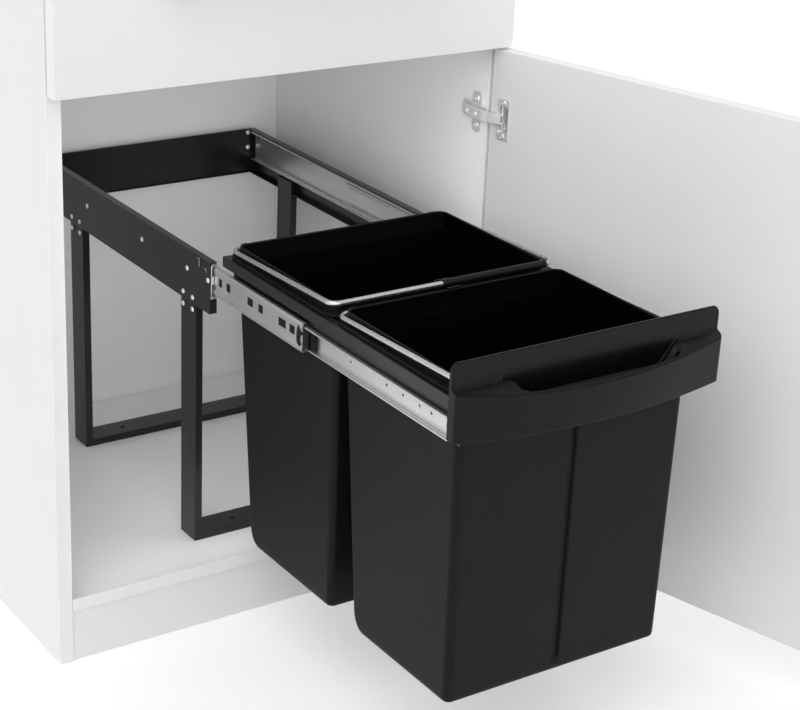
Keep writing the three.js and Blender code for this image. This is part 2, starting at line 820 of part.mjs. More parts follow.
// A bin: a tapered body, a shoulder, a rim that hangs on the rails, and a raised edge.
function binShell(rimRear) {
  const rimY = [rimRear - RIM_LENGTH, rimRear];
  const [under, over] = FLANGE_Z;
  const body = (z, inset, radius, notch) => {
    const down = (SHOULDER_Z - z) / (SHOULDER_Z - BIN_BOTTOM);
    const side = BODY_INSET.side + TAPER.side * down + inset;
    const front = BODY_INSET.front + TAPER.front * down + inset;
    const low = Math.max(0, 1 - (z - BIN_BOTTOM) / HEEL);
    const heel = HEEL * (1 - Math.sqrt(1 - low * low));
    const rear = BODY_INSET.rear + TAPER.rear * down + heel + inset;
    return binLoop(
      [RIM_X[0] + side, RIM_X[1] - side],
      [rimY[0] + front, rimY[1] - rear],
      radius,
      z,
      notch,
    );
  };
  const collar = (z, inset) =>
    binLoop(
      [RIM_X[0] + COLLAR_INSET.side + inset, RIM_X[1] - COLLAR_INSET.side - inset],
      [rimY[0] + COLLAR_INSET.front + inset, rimY[1] - COLLAR_INSET.rear - inset],
      COLLAR_RADIUS - inset,
      z,
    );
  const rim = (z) => binLoop(RIM_X, rimY, RIM_RADIUS, z);
  const groove = 4;
  return loft([
    body(BIN_BOTTOM, 4, BODY_RADIUS - 4, groove),
    body(BIN_BOTTOM + 2, 1, BODY_RADIUS - 1, groove),
    body(BIN_BOTTOM + 6, 0, BODY_RADIUS, groove),
    body(BIN_BOTTOM + 13, 0, BODY_RADIUS, groove),
    body(BIN_BOTTOM + HEEL, 0, BODY_RADIUS, groove),
    body(GROOVE_TOP, 0, BODY_RADIUS, groove),
    body(GROOVE_TOP + 3, 0, BODY_RADIUS),
    body(SHOULDER_Z, 0, BODY_RADIUS),
    collar(under - 0.5, 0),
    collar(under, 0),
    rim(under),
    rim(over),
    collar(over, 0),
    collar(RIM_TOP, 0),
    collar(RIM_TOP, WALL),
    collar(under - 0.5, WALL),
    body(SHOULDER_Z, WALL, BODY_RADIUS - WALL),
    body(GROOVE_TOP + 3, WALL, BODY_RADIUS - WALL),
    body(GROOVE_TOP, WALL, BODY_RADIUS - WALL, groove),
    body(BIN_BOTTOM + HEEL, WALL, BODY_RADIUS - WALL, groove),
    body(BIN_BOTTOM + 13, WALL, BODY_RADIUS - WALL, groove),
    body(BIN_BOTTOM + WALL, 7, BODY_RADIUS - 6, groove),
  ]);
}

// The shell with an eye behind each rear corner for the bail's end, and two rests that
// hold the bail's front run up to the height of the raised edge.
function bin(where) {
  const rear = BIN_REAR[where];
  const pivotY = rear - PIVOT_INSET;
  const front = rear - RIM_LENGTH;
  const [, flange] = FLANGE_Z;
  const collarBack = rear - COLLAR_INSET.rear;
  const fittings = [31, UNIT_WIDTH - 38].map((x) =>
    block([x, x + 7], [collarBack - 1, rear + 0.6], [flange - 0.5, PIVOT_Z + 4.5]),
  );
  fittings.push(
    block([42, 50], [front + 6, front + 17], [flange - 0.5, WIRE_Z - WIRE - GAP]),
    block([281, 289], [front + 6, front + 17], [flange - 0.5, WIRE_Z - GRIP - GAP]),
  );
  const eyes = rod([20, pivotY, PIVOT_Z], [UNIT_WIDTH - 20, pivotY, PIVOT_Z], WIRE + 0.3, 12);
  place(unit, `bin_${where}`, cut(join(binShell(rear), ...fittings), eyes), binPlastic);
}

// The bail: a wire from eye to eye, round the raised edge's two rear corners and its
// front side. It rises towards the front.
function bail(where) {
  const rear = BIN_REAR[where] - PIVOT_INSET;
  const front = BIN_REAR[where] - RIM_LENGTH + WIRE_FRONT;
  const left = WIRE_SIDE;
  const right = UNIT_WIDTH - WIRE_SIDE;
  const tip = 24; // how far each end runs along the rear side
  const stops = [
    [left + tip, rear, PIVOT_Z],
    [left, rear, PIVOT_Z],
    [left, front, WIRE_Z],
    [right, front, WIRE_Z],
    [right, rear, PIVOT_Z],
    [right - tip, rear, PIVOT_Z],
  ];
  const radii = [12, 11, 11, 12];
  const points = [new THREE.Vector3(...stops[0])];
  radii.forEach((radius, i) =>
    points.push(...bend(stops[i], stops[i + 1], stops[i + 2], radius)),
  );
  points.push(new THREE.Vector3(...stops.at(-1)));
  place(unit, `bail_${where}`, tube(points, WIRE), bailSteel);
}

// The grip: a sleeve on the bail's front run, from its middle to the right corner.
function bailGrip(where) {
  const y = BIN_REAR[where] - RIM_LENGTH + WIRE_FRONT;
  const from = UNIT_WIDTH / 2 - 6;
  const to = UNIT_WIDTH - WIRE_SIDE - 11.5;
  const sleeve = rod([from, y, WIRE_Z], [to, y, WIRE_Z], GRIP, 12);
  const bore = rod([from - 5, y, WIRE_Z], [to + 5, y, WIRE_Z], WIRE + GAP, 12);
  place(unit, `bail_grip_${where}`, cut(sleeve, bore), nylon);
}

// ---------------------------------------------------------------- assembly

carcass();
doorPanel();
for (const [where, z] of Object.entries(HINGE_HEIGHTS)) {
  hingeCup(`hinge_cup_${where}`, z);
  hingeMountingPlate(`hinge_mounting_plate_${where}`, z);
  hingeArm(`hinge_arm_${where}`, z);
}
drawer();
drawerRunners();
frameBackPlate();
for (const side of ["left", "right"]) {
  framePlate(side);
  slide(side);
  ballRetainers(side);
  slideStop(side);
  carriageRail(side);
}
for (const [where, front] of Object.entries(LEG_FRONTS)) legFrame(`leg_frame_${where}`, front);
crossMembers();
handlePanel();
for (const where of ["rear", "front"]) {
  bin(where);
  bail(where);
  bailGrip(where);
}

export default assembly;
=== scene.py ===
"""Dresses a packed base cabinet with a pull-out waste unit: boards, hinges, slides and bins."""

import json
import math

import bmesh
import bpy
from bpy.props import FloatProperty, FloatVectorProperty, PointerProperty
from bpy.types import Operator, Panel, PropertyGroup
from mathutils import Matrix, Vector

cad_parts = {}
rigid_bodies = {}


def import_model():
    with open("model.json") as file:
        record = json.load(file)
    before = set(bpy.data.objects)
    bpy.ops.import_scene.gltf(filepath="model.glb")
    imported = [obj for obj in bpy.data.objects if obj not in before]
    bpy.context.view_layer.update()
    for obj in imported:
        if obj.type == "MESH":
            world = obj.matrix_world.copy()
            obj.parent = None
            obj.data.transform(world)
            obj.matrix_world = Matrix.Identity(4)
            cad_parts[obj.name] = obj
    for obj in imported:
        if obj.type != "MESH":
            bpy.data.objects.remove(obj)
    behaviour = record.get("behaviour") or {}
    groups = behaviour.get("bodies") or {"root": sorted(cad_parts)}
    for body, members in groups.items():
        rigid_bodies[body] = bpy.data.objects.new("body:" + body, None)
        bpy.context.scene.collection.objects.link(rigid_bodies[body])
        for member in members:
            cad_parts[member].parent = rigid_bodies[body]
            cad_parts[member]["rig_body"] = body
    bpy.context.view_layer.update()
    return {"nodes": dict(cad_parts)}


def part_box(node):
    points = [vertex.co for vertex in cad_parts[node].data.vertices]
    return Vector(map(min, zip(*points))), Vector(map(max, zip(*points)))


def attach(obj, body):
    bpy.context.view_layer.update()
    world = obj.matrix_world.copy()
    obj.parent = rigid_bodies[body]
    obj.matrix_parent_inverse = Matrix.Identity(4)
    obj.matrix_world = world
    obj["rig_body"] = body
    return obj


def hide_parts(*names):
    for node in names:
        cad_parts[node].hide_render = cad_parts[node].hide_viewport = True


bl_info = {
    "name": "Pull-out waste bin cabinet",
    "version": (1, 0, 0),
    "blender": (4, 5, 0),
    "location": "3D View > Sidebar > Bin cabinet",
    "description": "Builds the visible surfaces of a base cabinet with a pull-out waste unit",
    "category": "Object",
}

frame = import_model()

# Shapes are in millimetres. Edge roundings and the sizes in a finish are in metres.
MM = 0.001
CABINET = Vector((-0.300, -0.010, 0.0))  # the carcass's left front corner, on the floor
UNIT = Vector((-0.090, -0.010, 0.0))  # the pull-out frame's left face, at the carcass front
CABINET_WIDTH = 600
BOARD = 18
UNIT_WIDTH = 331.0
LEFTWARD, RIGHTWARD, UPWARD = (-1, 0, 0), (1, 0, 0), (0, 0, 1)
FORWARD, REARWARD = (0, -1, 0), (0, 1, 0)  # out of the cabinet, into it
SIDES = ("left", "right")
WHERE = ("rear", "front")

# ---- sizes and colours


def length(label, about, millimetres):
    """A size in the sidebar, kept in metres."""
    return FloatProperty(name=label, description=about, default=millimetres * MM, min=0.0,
                         unit="LENGTH", precision=5)


def colour(label, about, value):
    """A finish's colour in the sidebar."""
    return FloatVectorProperty(name=label, description=about, default=value, subtype="COLOR",
                               size=3, min=0.0, max=1.0)


class BinCabinetSizes(PropertyGroup):
    board_edge: length("Board edge", "Rounding of the boards' edges", 0.7)
    sheet_edge: length("Sheet edge", "Rounding of bent steel sheet", 0.5)
    wire_radius: length("Bail wire radius", "Radius of the bins' wire handles", 2.9)
    rivet_radius: length("Rivet radius", "Radius of the frame's rivet heads", 3.4)
    ball_radius: length("Ball radius", "Radius of the bearing balls in the slides", 1.1)
    bar_radius: length("Bar handle radius", "Radius of the bar handles", 6.0)
    grip_radius: length("Grip radius", "Radius of the sleeve on a wire handle", 4.5)


class BinCabinetColours(PropertyGroup):
    board: colour("Board", "Melamine face of the boards", (0.80, 0.80, 0.805))
    edging: colour("Edge band", "Band glued on the boards' edges", (0.83, 0.83, 0.83))
    back: colour("Back board", "Lacquered fibreboard of the back", (0.70, 0.70, 0.70))
    zinc: colour("Zinc", "Zinc-plated slides", (0.64, 0.635, 0.625))
    nickel: colour("Nickel", "Nickel-plated hinges", (0.86, 0.855, 0.84))
    wire: colour("Wire", "Drawn wire of the bails", (0.60, 0.60, 0.605))
    bar: colour("Bar handle", "Brushed bar handles", (0.62, 0.62, 0.61))
    steel: colour("Powder coat", "Black powder coat of the frame", (0.008, 0.008, 0.0084))
    bin: colour("Bin", "Moulded bins", (0.0066, 0.0066, 0.0071))
    # The bins' inside is a darker, less glossy copy of the bin plastic: painted shade for the deep
    # insides of the bins.
    inside: colour("Bin inside", "The bins' matt inner faces", (0.0012, 0.0012, 0.0013))
    panel: colour("Handle panel", "Moulded handle panel", (0.0035, 0.0035, 0.0038))
    nylon: colour("Nylon", "Slide stops and grips", (0.005, 0.005, 0.0055))


def sizes():
    return bpy.context.scene.bin_cabinet_sizes


def colours():
    return bpy.context.scene.bin_cabinet_colours


# ---- finishes

TONE_STOPS = (0.3, 0.7)  # where on the noise the darker and the paler tone stand
GLOSS_PATCH = 0.35  # size of a change in gloss, as a share of one in tone


def finish(name, base, rough, metal=0.0, specular=0.5, mottle=0.03, patch=0.03, grain=0.0006,
           depth=2e-5, stretch=(1.0, 1.0, 1.0), rough_spread=0.05):
    """A procedural surface: slow changes of tone and gloss, and a fine grain in relief."""
    found = bpy.data.materials.get(name)
    if found:
        return found
    material = bpy.data.materials.new(name)
    material.use_nodes = True
    tree = material.node_tree
    shader = tree.nodes["Principled BSDF"]
    shader.inputs["Metallic"].default_value = metal
    shader.inputs["Specular IOR Level"].default_value = specular

    def node(kind, **values):
        made = tree.nodes.new(kind)
        for key, value in values.items():
            made.inputs[key].default_value = value
        return made

    place = node("ShaderNodeTexCoord").outputs["Object"]
    mapping = node("ShaderNodeMapping", Scale=stretch)
    tree.links.new(place, mapping.inputs["Vector"])

    def noise(size, detail):
        made = node("ShaderNodeTexNoise", Scale=1.0 / size, Detail=detail, Roughness=0.6)
        tree.links.new(mapping.outputs["Vector"], made.inputs["Vector"])
        return made.outputs["Fac"]

    ramp = node("ShaderNodeValToRGB")
    shares = (1 - mottle, 1 + mottle)
    for stop, position, share in zip(ramp.color_ramp.elements, TONE_STOPS, shares):
        stop.position = position
        stop.color = [min(1.0, c * share) for c in base] + [1.0]
    tree.links.new(noise(patch, 4.0), ramp.inputs["Fac"])
    tree.links.new(ramp.outputs["Color"], shader.inputs["Base Color"])

    gloss = node("ShaderNodeMapRange")
    gloss.inputs["To Min"].default_value = max(0.02, rough - rough_spread)
    gloss.inputs["To Max"].default_value = min(1.0, rough + rough_spread)
    tree.links.new(noise(patch * GLOSS_PATCH, 3.0), gloss.inputs["Value"])
    tree.links.new(gloss.outputs["Result"], shader.inputs["Roughness"])

    if depth:
        relief = node("ShaderNodeBump", Strength=0.5, Distance=depth)
        tree.links.new(noise(grain, 2.0), relief.inputs["Height"])
        tree.links.new(relief.outputs["Normal"], shader.inputs["Normal"])
    return material


def board():
    return finish("white_melamine", colours().board, 0.42, specular=0.4, mottle=0.012, patch=0.12,
                  grain=0.0012, depth=1e-5)


def edging():
    return finish("white_edge_band", colours().edging, 0.36, specular=0.45, mottle=0.015,
                  patch=0.05, grain=0.0009, depth=1.2e-5)


def back_board():
    return finish("lacquered_fibreboard", colours().back, 0.6, specular=0.25, mottle=0.02,
                  patch=0.06, grain=0.0008, depth=3e-5)


def zinc():
    return finish("zinc_plate", colours().zinc, 0.3, metal=0.85, mottle=0.05, patch=0.012,
                  grain=0.0007, depth=1e-5, stretch=(1.0, 0.12, 1.0), rough_spread=0.07)


def nickel():
    return finish("nickel_plate", colours().nickel, 0.34, metal=0.65, mottle=0.04, patch=0.01,
                  grain=0.0006, depth=8e-6)


def drawn_wire():
    return finish("drawn_wire", colours().wire, 0.27, metal=0.9, mottle=0.02, patch=0.02,
                  depth=0.0, rough_spread=0.02)


def brushed_bar():
    return finish("brushed_bar", colours().bar, 0.32, metal=1.0, mottle=0.05, patch=0.01,
                  grain=0.0004, depth=1e-5, stretch=(0.1, 1.0, 1.0))


def powder_coat():
    return finish("black_powder_coat", colours().steel, 0.28, specular=0.42, mottle=0.03,
                  patch=0.04, grain=0.0009, depth=3e-6, rough_spread=0.012)


def bin_plastic():
    return finish("black_bin_plastic", colours().bin, 0.42, specular=0.12, mottle=0.1, patch=0.05,
                  grain=0.0007, depth=4e-5)


# Painted shade: the bins' inner faces are the bin plastic made darker and duller, for the shade
# deep inside a bin.
def bin_inside():
    return finish("bin_inside_painted_shade", colours().inside, 0.6, specular=0.02, mottle=0.1,
                  patch=0.05, grain=0.0007, depth=4e-5)


def panel_plastic():
    return finish("black_panel_plastic", colours().panel, 0.26, specular=0.17, mottle=0.08,
                  patch=0.04, grain=0.0008, depth=4e-6)


def black_nylon():
    return finish("black_nylon", colours().nylon, 0.4, specular=0.2, mottle=0.1, patch=0.01,
                  grain=0.0006, depth=2e-5)


# ---- shape making


def circle(sides):
    """Cosine and sine of even steps, once round."""
    return [(math.cos(t), math.sin(t)) for t in (2 * math.pi * i / sides for i in range(sides))]


class Shape:
    """Points and faces of one piece, in millimetres from an origin."""

    def __init__(self):
        self.points, self.faces, self.slots = [], [], []

    def skin(self, rings, slot=0, closed=False):
        """Joins rings of equal length, and caps the two ends unless the stack is closed."""
        count, size, base = len(rings), len(rings[0]), len(self.points)
        faces = []
        for level in range(count if closed else count - 1):
            a, b = level * size, (level + 1) % count * size
            for i in range(size):
                j = (i + 1) % size
                faces.append((a + i, a + j, b + j, b + i))
        if not closed:
            faces += [tuple(reversed(range(size))), tuple(range((count - 1) * size, count * size))]
        self.points += [tuple(p) for ring in rings for p in ring]
        self.faces += [tuple(base + i for i in face) for face in faces]
        self.slots += [slot] * len(faces)
        return self

    def block(self, x, y, z, slot=0):
        ring = [(x[0], y[0]), (x[1], y[0]), (x[1], y[1]), (x[0], y[1])]
        return self.skin([[(a, b, h) for a, b in ring] for h in z], slot)

    def prism(self, outline, axis, span, slot=0):
        """An outline in the two other axes, in the order XYZ, carried along one axis."""
        put = {"X": lambda a, b, c: (c, a, b), "Y": lambda a, b, c: (a, c, b),
               "Z": lambda a, b, c: (a, b, c)}[axis]
        return self.skin([[put(a, b, c) for a, b in outline] for c in span], slot)

    def turned(self, profile, centre, axis, sides=20, slot=0):
        """A profile of (radius, height) turned about an axis through the centre."""
        along = Vector(axis).normalized()
        across = along.orthogonal().normalized()
        third = along.cross(across)
        rings = []
        for radius, height in profile:
            middle = Vector(centre) + along * height
            rings.append([middle + (across * c + third * s) * radius for c, s in circle(sides)])
        return self.skin(rings, slot)

    def tube(self, path, radius, sides):
        """A round bar along a path of points."""
        path = [Vector(p) for p in path]
        last = len(path) - 1
        tangents = [(path[min(i + 1, last)] - path[max(i - 1, 0)]).normalized()
                    for i in range(last + 1)]
        across = tangents[0].orthogonal().normalized()
        rings = []
        for i, (point, tangent) in enumerate(zip(path, tangents)):
            if i:
                across = tangents[i - 1].rotation_difference(tangent) @ across
            third = tangent.cross(across)
            rings.append([point + (across * c + third * s) * radius for c, s in circle(sides)])
        return self.skin(rings)

    def mirror(self):
        """The same shape on the unit's other side."""
        self.points = [(UNIT_WIDTH - x, y, z) for x, y, z in self.points]
        self.faces = [tuple(reversed(face)) for face in self.faces]
        return self


def on_side(shape, side):
    """A shape made for the left, on the side that is asked for."""
    return shape if side == "left" else shape.mirror()


def add_object(name, data):
    """Puts a mesh, lamp or camera into the scene."""
    obj = bpy.data.objects.new(name, data)
    bpy.context.scene.collection.objects.link(obj)
    return obj


def shape_mesh(name, shape, origin, turn):
    """A mesh in metres from a shape in millimetres."""
    mesh = bpy.data.meshes.new(name)
    places = [Vector(p) * MM for p in shape.points]
    if turn is not None:
        places = [turn @ p for p in places]
    mesh.from_pydata([origin + p for p in places], [], shape.faces)
    return mesh


BEVEL_ABOVE = math.radians(30)  # edges that turn more than this are rounded
SHARP_ABOVE = math.radians(42)  # edges that still turn more than this stay sharp
FLAT_BELOW = math.radians(0.5)  # edges that turn less than this are taken out of a CAD face


def smooth_piece(mesh, edge, steps):
    """Welds and bevels a mesh, faces it outwards and smooths what is not an edge."""
    work = bmesh.new()
    work.from_mesh(mesh)
    bmesh.ops.remove_doubles(work, verts=work.verts, dist=1e-6)
    bmesh.ops.recalc_face_normals(work, faces=work.faces)
    if edge:
        turning = [e for e in work.edges
                   if len(e.link_faces) == 2 and e.calc_face_angle(0.0) > BEVEL_ABOVE]
        bmesh.ops.bevel(work, geom=turning, offset=edge, segments=steps, profile=0.5,
                        affect="EDGES", clamp_overlap=True)
    work.to_mesh(mesh)
    work.free()
    mesh.shade_smooth()
    mesh.set_sharp_from_angle(angle=SHARP_ABOVE)


def band_edges(mesh, thick):
    """Gives the second material to the faces that don't look along a board's thickness."""
    for polygon in mesh.polygons:
        polygon.material_index = int(abs(polygon.normal.dot(thick)) < 0.6)


def finished(obj, materials, body, nodes):
    """Gives a piece its materials, its body and the CAD nodes that it stands for."""
    chosen = [polygon.material_index for polygon in obj.data.polygons]
    obj.data.materials.clear()  # this also sets every face's index to 0
    for material in materials:
        obj.data.materials.append(material)
    for polygon, index in zip(obj.data.polygons, chosen):
        polygon.material_index = index
    even = obj.modifiers.new("even_normals", "WEIGHTED_NORMAL")
    even.keep_sharp = True
    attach(obj, body)
    if nodes:
        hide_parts(*nodes)
    return obj


def make(name, shape, body, materials, nodes=(), edge=0.0, steps=2, origin=UNIT, turn=None):
    """Makes one piece from a shape in millimetres."""
    mesh = shape_mesh(name, shape, origin, turn)
    for polygon, index in zip(mesh.polygons, shape.slots):
        polygon.material_index = index
    smooth_piece(mesh, edge, steps)
    return finished(add_object(name, mesh), materials, body, nodes)


def dress(node, materials, edge, steps=2, banded=False):
    """A node's own form with rounded edges; a board also gets bands on its narrow faces."""
    source = frame["nodes"][node]
    name = f"{node}_finished"
    mesh = source.data.copy()
    mesh.name = name
    work = bmesh.new()
    work.from_mesh(mesh)
    bmesh.ops.remove_doubles(work, verts=work.verts, dist=1e-5)
    bmesh.ops.dissolve_limit(work, angle_limit=FLAT_BELOW, verts=work.verts, edges=work.edges)
    for attribute in ("custom_normal", "sharp_edge", "sharp_face"):
        if attribute in mesh.attributes:
            mesh.attributes.remove(mesh.attributes[attribute])
    mesh.clear_geometry()
    work.to_mesh(mesh)
    work.free()
    smooth_piece(mesh, edge, steps)
    for polygon in mesh.polygons:
        polygon.material_index = 0
    if banded:
        low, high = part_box(node)
        size = high - low
        thin = min(range(3), key=lambda i: size[i])
        band_edges(mesh, Vector([float(i == thin) for i in range(3)]))
    return finished(add_object(name, mesh), materials, source["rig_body"], [node])


def cut_away(obj, name, shape, origin=UNIT, turn=None):
    """Cuts a shape out of a piece, and keeps the result as a plain mesh."""
    cutter = add_object(name, shape_mesh(name, shape, origin, turn))
    work = bmesh.new()
    work.from_mesh(cutter.data)
    bmesh.ops.recalc_face_normals(work, faces=work.faces)
    work.to_mesh(cutter.data)
    work.free()
    cut = obj.modifiers.new("cut", "BOOLEAN")
    cut.operation = "DIFFERENCE"
    cut.solver = "EXACT"
    cut.object = cutter
    obj.modifiers.move(obj.modifiers.find("cut"), 0)
    for other in obj.modifiers:
        other.show_viewport = other == cut
    bpy.context.view_layer.update()
    graph = bpy.context.evaluated_depsgraph_get()
    result = bpy.data.meshes.new_from_object(obj.evaluated_get(graph))
    obj.modifiers.remove(cut)
    for other in obj.modifiers:
        other.show_viewport = True
    old, used = obj.data, cutter.data
    kept_name = old.name
    obj.data = result
    bpy.data.meshes.remove(old)
    result.name = kept_name
    bpy.data.objects.remove(cutter)
    bpy.data.meshes.remove(used)


# ---- boards

CARCASS = ("side_panel_left", "side_panel_right", "base_panel", "plinth_board",
           "top_rail_front", "top_rail_rear")
DRAWER_BOARDS = ("drawer_inner_front", "drawer_side_left", "drawer_side_right", "drawer_back")


def make_boards():
    edge = sizes().board_edge
    for node in CARCASS + DRAWER_BOARDS + ("drawer_front",):
        dress(node, [board(), edging()], edge, 3, banded=True)
    for node in ("back_panel", "drawer_bottom"):
        dress(node, [back_board()], edge * 0.4)


# ---- door

# The door and its cups are drawn shut, from the hinge axis, and then turned open.
AXIS_X = 592  # the hinge axis, from the cabinet's left
DOOR_PIVOT = Vector((0.292, -0.0205, 0.0))
DOOR_TURN = Matrix.Rotation(math.radians(105), 3, "Z")
DOOR_X = (1.5 - AXIS_X, 598.5 - AXIS_X)
DOOR_Y = (-9.5, 8.5)
DOOR_Z = (66.0, 687.3)
HINGE_HEIGHTS = {"upper": 603.0, "lower": 150.0}
CUP_X = 578 - AXIS_X
CUP_HALF = (8.0, 17.5)  # half the cup's width and height
CUP_CORNER = 5
BORE_DEPTH = 12


def rounded(x, z, half, radius, grow=0.0, steps=6):
    """A rounded rectangle about a centre."""
    ring = []
    for sx, sz, start in ((1, -1, -90), (1, 1, 0), (-1, 1, 90), (-1, -1, 180)):
        for i in range(steps + 1):
            t = math.radians(start + 90 * i / steps)
            ring.append((x + sx * (half[0] - radius) + (radius + grow) * math.cos(t),
                         z + sz * (half[1] - radius) + (radius + grow) * math.sin(t)))
    return ring


def make_door():
    """The door, with two blind holes for the hinge cups."""
    panel = Shape().block(DOOR_X, DOOR_Y, DOOR_Z)
    obj = make("door_leaf", panel, "door", [board(), edging()], ["door_panel"],
               sizes().board_edge, 3, DOOR_PIVOT, DOOR_TURN)
    band_edges(obj.data, (DOOR_TURN @ Vector(REARWARD)).normalized())
    for height in HINGE_HEIGHTS.values():
        outline = rounded(CUP_X, height, CUP_HALF, CUP_CORNER, 0.2)
        bore = Shape().prism(outline, "Y", (DOOR_Y[1] - BORE_DEPTH, DOOR_Y[1] + 8))
        cut_away(obj, "cup_bore", bore, DOOR_PIVOT, DOOR_TURN)


# ---- hinges

SIDE_FACE = CABINET_WIDTH - BOARD - 0.3  # where a mounting plate lies on the side panel
ARM_FACE = 571.5
FLANGE_HALF = (9, 26)
MOUTH_HALF = (7, 16.5)
PRESSED_EDGE = 0.0003


def screw(shape, centre, axis, radius, height):
    """A pan head with a recess, standing on a face."""
    profile = [(radius, 0), (radius, height * 0.35), (radius * 0.86, height * 0.75),
               (radius * 0.5, height), (radius * 0.42, height), (radius * 0.3, height * 0.45),
               (0.02, height * 0.4)]
    shape.turned(profile, centre, axis, 18)


def mounting_plate(z):
    """A plate with two wings on the side panel, and the raised foot that carries the arm."""
    face = SIDE_FACE
    wings = [(10, z - 21), (13, z - 25), (25, z - 25), (28, z - 21), (28, z + 21), (25, z + 25),
             (13, z + 25), (10, z + 21)]
    foot = [(3, z - 8), (6, z - 10), (45, z - 10), (48, z - 7), (48, z + 7), (45, z + 10),
            (6, z + 10), (3, z + 8)]
    plate = Shape()
    plate.prism(wings, "X", (face - 2, face))
    plate.prism(foot, "X", (face - 2.6, face - 0.2))
    plate.block((face - 4.4, face - 1), (6, 42), (z - 5, z + 5))
    for up in (16.5, -16.5):
        screw(plate, (face - 1.9, 19, z + up), LEFTWARD, 4.2, 2.2)
    screw(plate, (face - 2.5, 44, z), LEFTWARD, 2.4, 1.6)
    return plate


def hinge_arm(z):
    """A folded arm that reaches out to the door, with its two link pins."""
    outside = [(ARM_FACE, 36), (ARM_FACE, 3), (573, -3), (577, -13.5), (583.4, -25)]
    cheek = outside + [(586.5, -26), (588.5, -25), (588.5, -20), (581.5, -13.5), (578.5, -4),
                       (576.9, 3), (576.9, 36)]
    cover = outside + [(584.4, -24.4), (578.2, -13), (574.3, -2.6), (572.9, 3.2), (572.9, 36)]
    arm = Shape()
    for span in ((z - 6, z - 4.6), (z + 4.6, z + 6)):
        arm.prism(cheek, "Z", span)
    arm.prism(cover, "Z", (z - 5, z + 5))
    for y in (12, 29):
        screw(arm, (571.7, y, z), LEFTWARD, 3.4, 1.5)
    for x, y in ((577.5, -5.5), (584.5, -18)):
        arm.turned([(1.6, -6.6), (1.6, 6.6)], (x, y, z), UPWARD, 12)
    return arm


def hinge_cup(z):
    """A pressed cup with a rectangular flange, two screws and a pin."""
    top = DOOR_Y[1]
    cup = Shape()
    wall = ((0.0, 0.4), (-1.0, 0.4), (-1.0, -9), (-3, -10.6), (-4.5, -10.6), (-4.5, -11.4),
            (-2, -11.4), (0, -9.4))
    cup.skin([[(x, top + up, h) for x, h in rounded(CUP_X, z, CUP_HALF, CUP_CORNER, grow)]
              for grow, up in wall], closed=True)
    flange = ((FLANGE_HALF, -0.4, 1.6), (FLANGE_HALF, 0.0, 1.2), (FLANGE_HALF, 0.0, 0.1),
              (MOUTH_HALF, 0.0, 0.1), (MOUTH_HALF, 0.0, 1.6))
    cup.skin([[(x, top + up, h) for x, h in rounded(CUP_X, z, half, 2, grow)]
              for half, grow, up in flange], closed=True)
    for sign in (-1, 1):
        screw(cup, (CUP_X, top + 1.5, z + sign * 21), REARWARD, 3.4, 1.2)
    cup.turned([(2.0, -16), (2.0, 16)], (CUP_X + 4, top - 3.2, z), UPWARD, 12)
    return cup


def make_hinges():
    for name, z in HINGE_HEIGHTS.items():
        make(f"mounting_plate_{name}", mounting_plate(z), "cabinet", [nickel()],
             [f"hinge_mounting_plate_{name}"], PRESSED_EDGE, 2, CABINET)
        make(f"hinge_link_{name}", hinge_arm(z), "cabinet", [nickel()],
             [f"hinge_arm_{name}"], PRESSED_EDGE, 2, CABINET)
        make(f"cup_{name}", hinge_cup(z), "door", [nickel()],
             [f"hinge_cup_{name}"], 0.0002, 1, DOOR_PIVOT, DOOR_TURN)


# ---- bar handles

DRAWER_BAR_PLACE = (CABINET_WIDTH / 2, -20, 803)  # on the boards' outer faces
DOOR_BAR_PLACE = (DOOR_X[0] + 45, DOOR_Y[0], 467.3)
BAR_HALF = 180.0
BAR_CHAMFER = 1.2
BAR_STANDOFF = 32  # from the board's face to the bar's axis
POST_PLACE = 160  # from the bar's middle to each post
POST_PROFILE = ((6.2, 0.3), (6.2, 1.6), (5, 2.4), (4.8, 31))


def bar_handle(name, node, body, middle, along, origin, turn=None):
    """A bar with chamfered ends on two posts with small collars."""
    along, out, middle = Vector(along), Vector(FORWARD), Vector(middle)
    radius = sizes().bar_radius / MM
    narrow, end = radius - BAR_CHAMFER, BAR_HALF - BAR_CHAMFER
    shape = Shape()
    shape.turned([(narrow, -BAR_HALF), (radius, -end), (radius, end), (narrow, BAR_HALF)],
                 middle + out * BAR_STANDOFF, along, 28)
    for sign in (-1, 1):
        shape.turned(POST_PROFILE, middle + along * (POST_PLACE * sign), out, 24)
    make(name, shape, body, [brushed_bar()], [node], 0.0, 1, origin, turn)


def make_handles():
    bar_handle("drawer_bar", "drawer_handle", "drawer", DRAWER_BAR_PLACE, RIGHTWARD, CABINET)
    bar_handle("door_bar", "door_handle", "door", DOOR_BAR_PLACE, UPWARD, DOOR_PIVOT, DOOR_TURN)


# ---- pull-out frame

PLATE_RIVETS = ((352, 436), (196, 439), (78, 440), (26.7, 441))
LEG_FRONTS = {"front": 60.0, "rear": 372.0}
LEG_RIVETS = ((4.5, 407), (28, 407.5), (4.5, 392), (28, 392))
BACK_RIVETS = ((11, 458), (11, 436), (320, 458), (320, 436))
REAR_FACE = 495.5  # front of the frame's rear plate
FOOT_TOP = 92.2
CATCH = ((-1.3, 0.2), (46.5, 52.5), (452, 462))  # black catch near the plate's front end
CATCH_SLOT = ((-0.5, 0.2), (31, 36), (449, 453))


def rivet(shape, centre, axis, tall=1.45):
    """A low domed head, standing on a face."""
    radius = sizes().rivet_radius / MM
    profile = [(radius, 0), (radius * 0.96, tall * 0.35), (radius * 0.75, tall * 0.75),
               (radius * 0.4, tall * 0.97), (0.02, tall)]
    shape.turned(profile, centre, axis, 18)


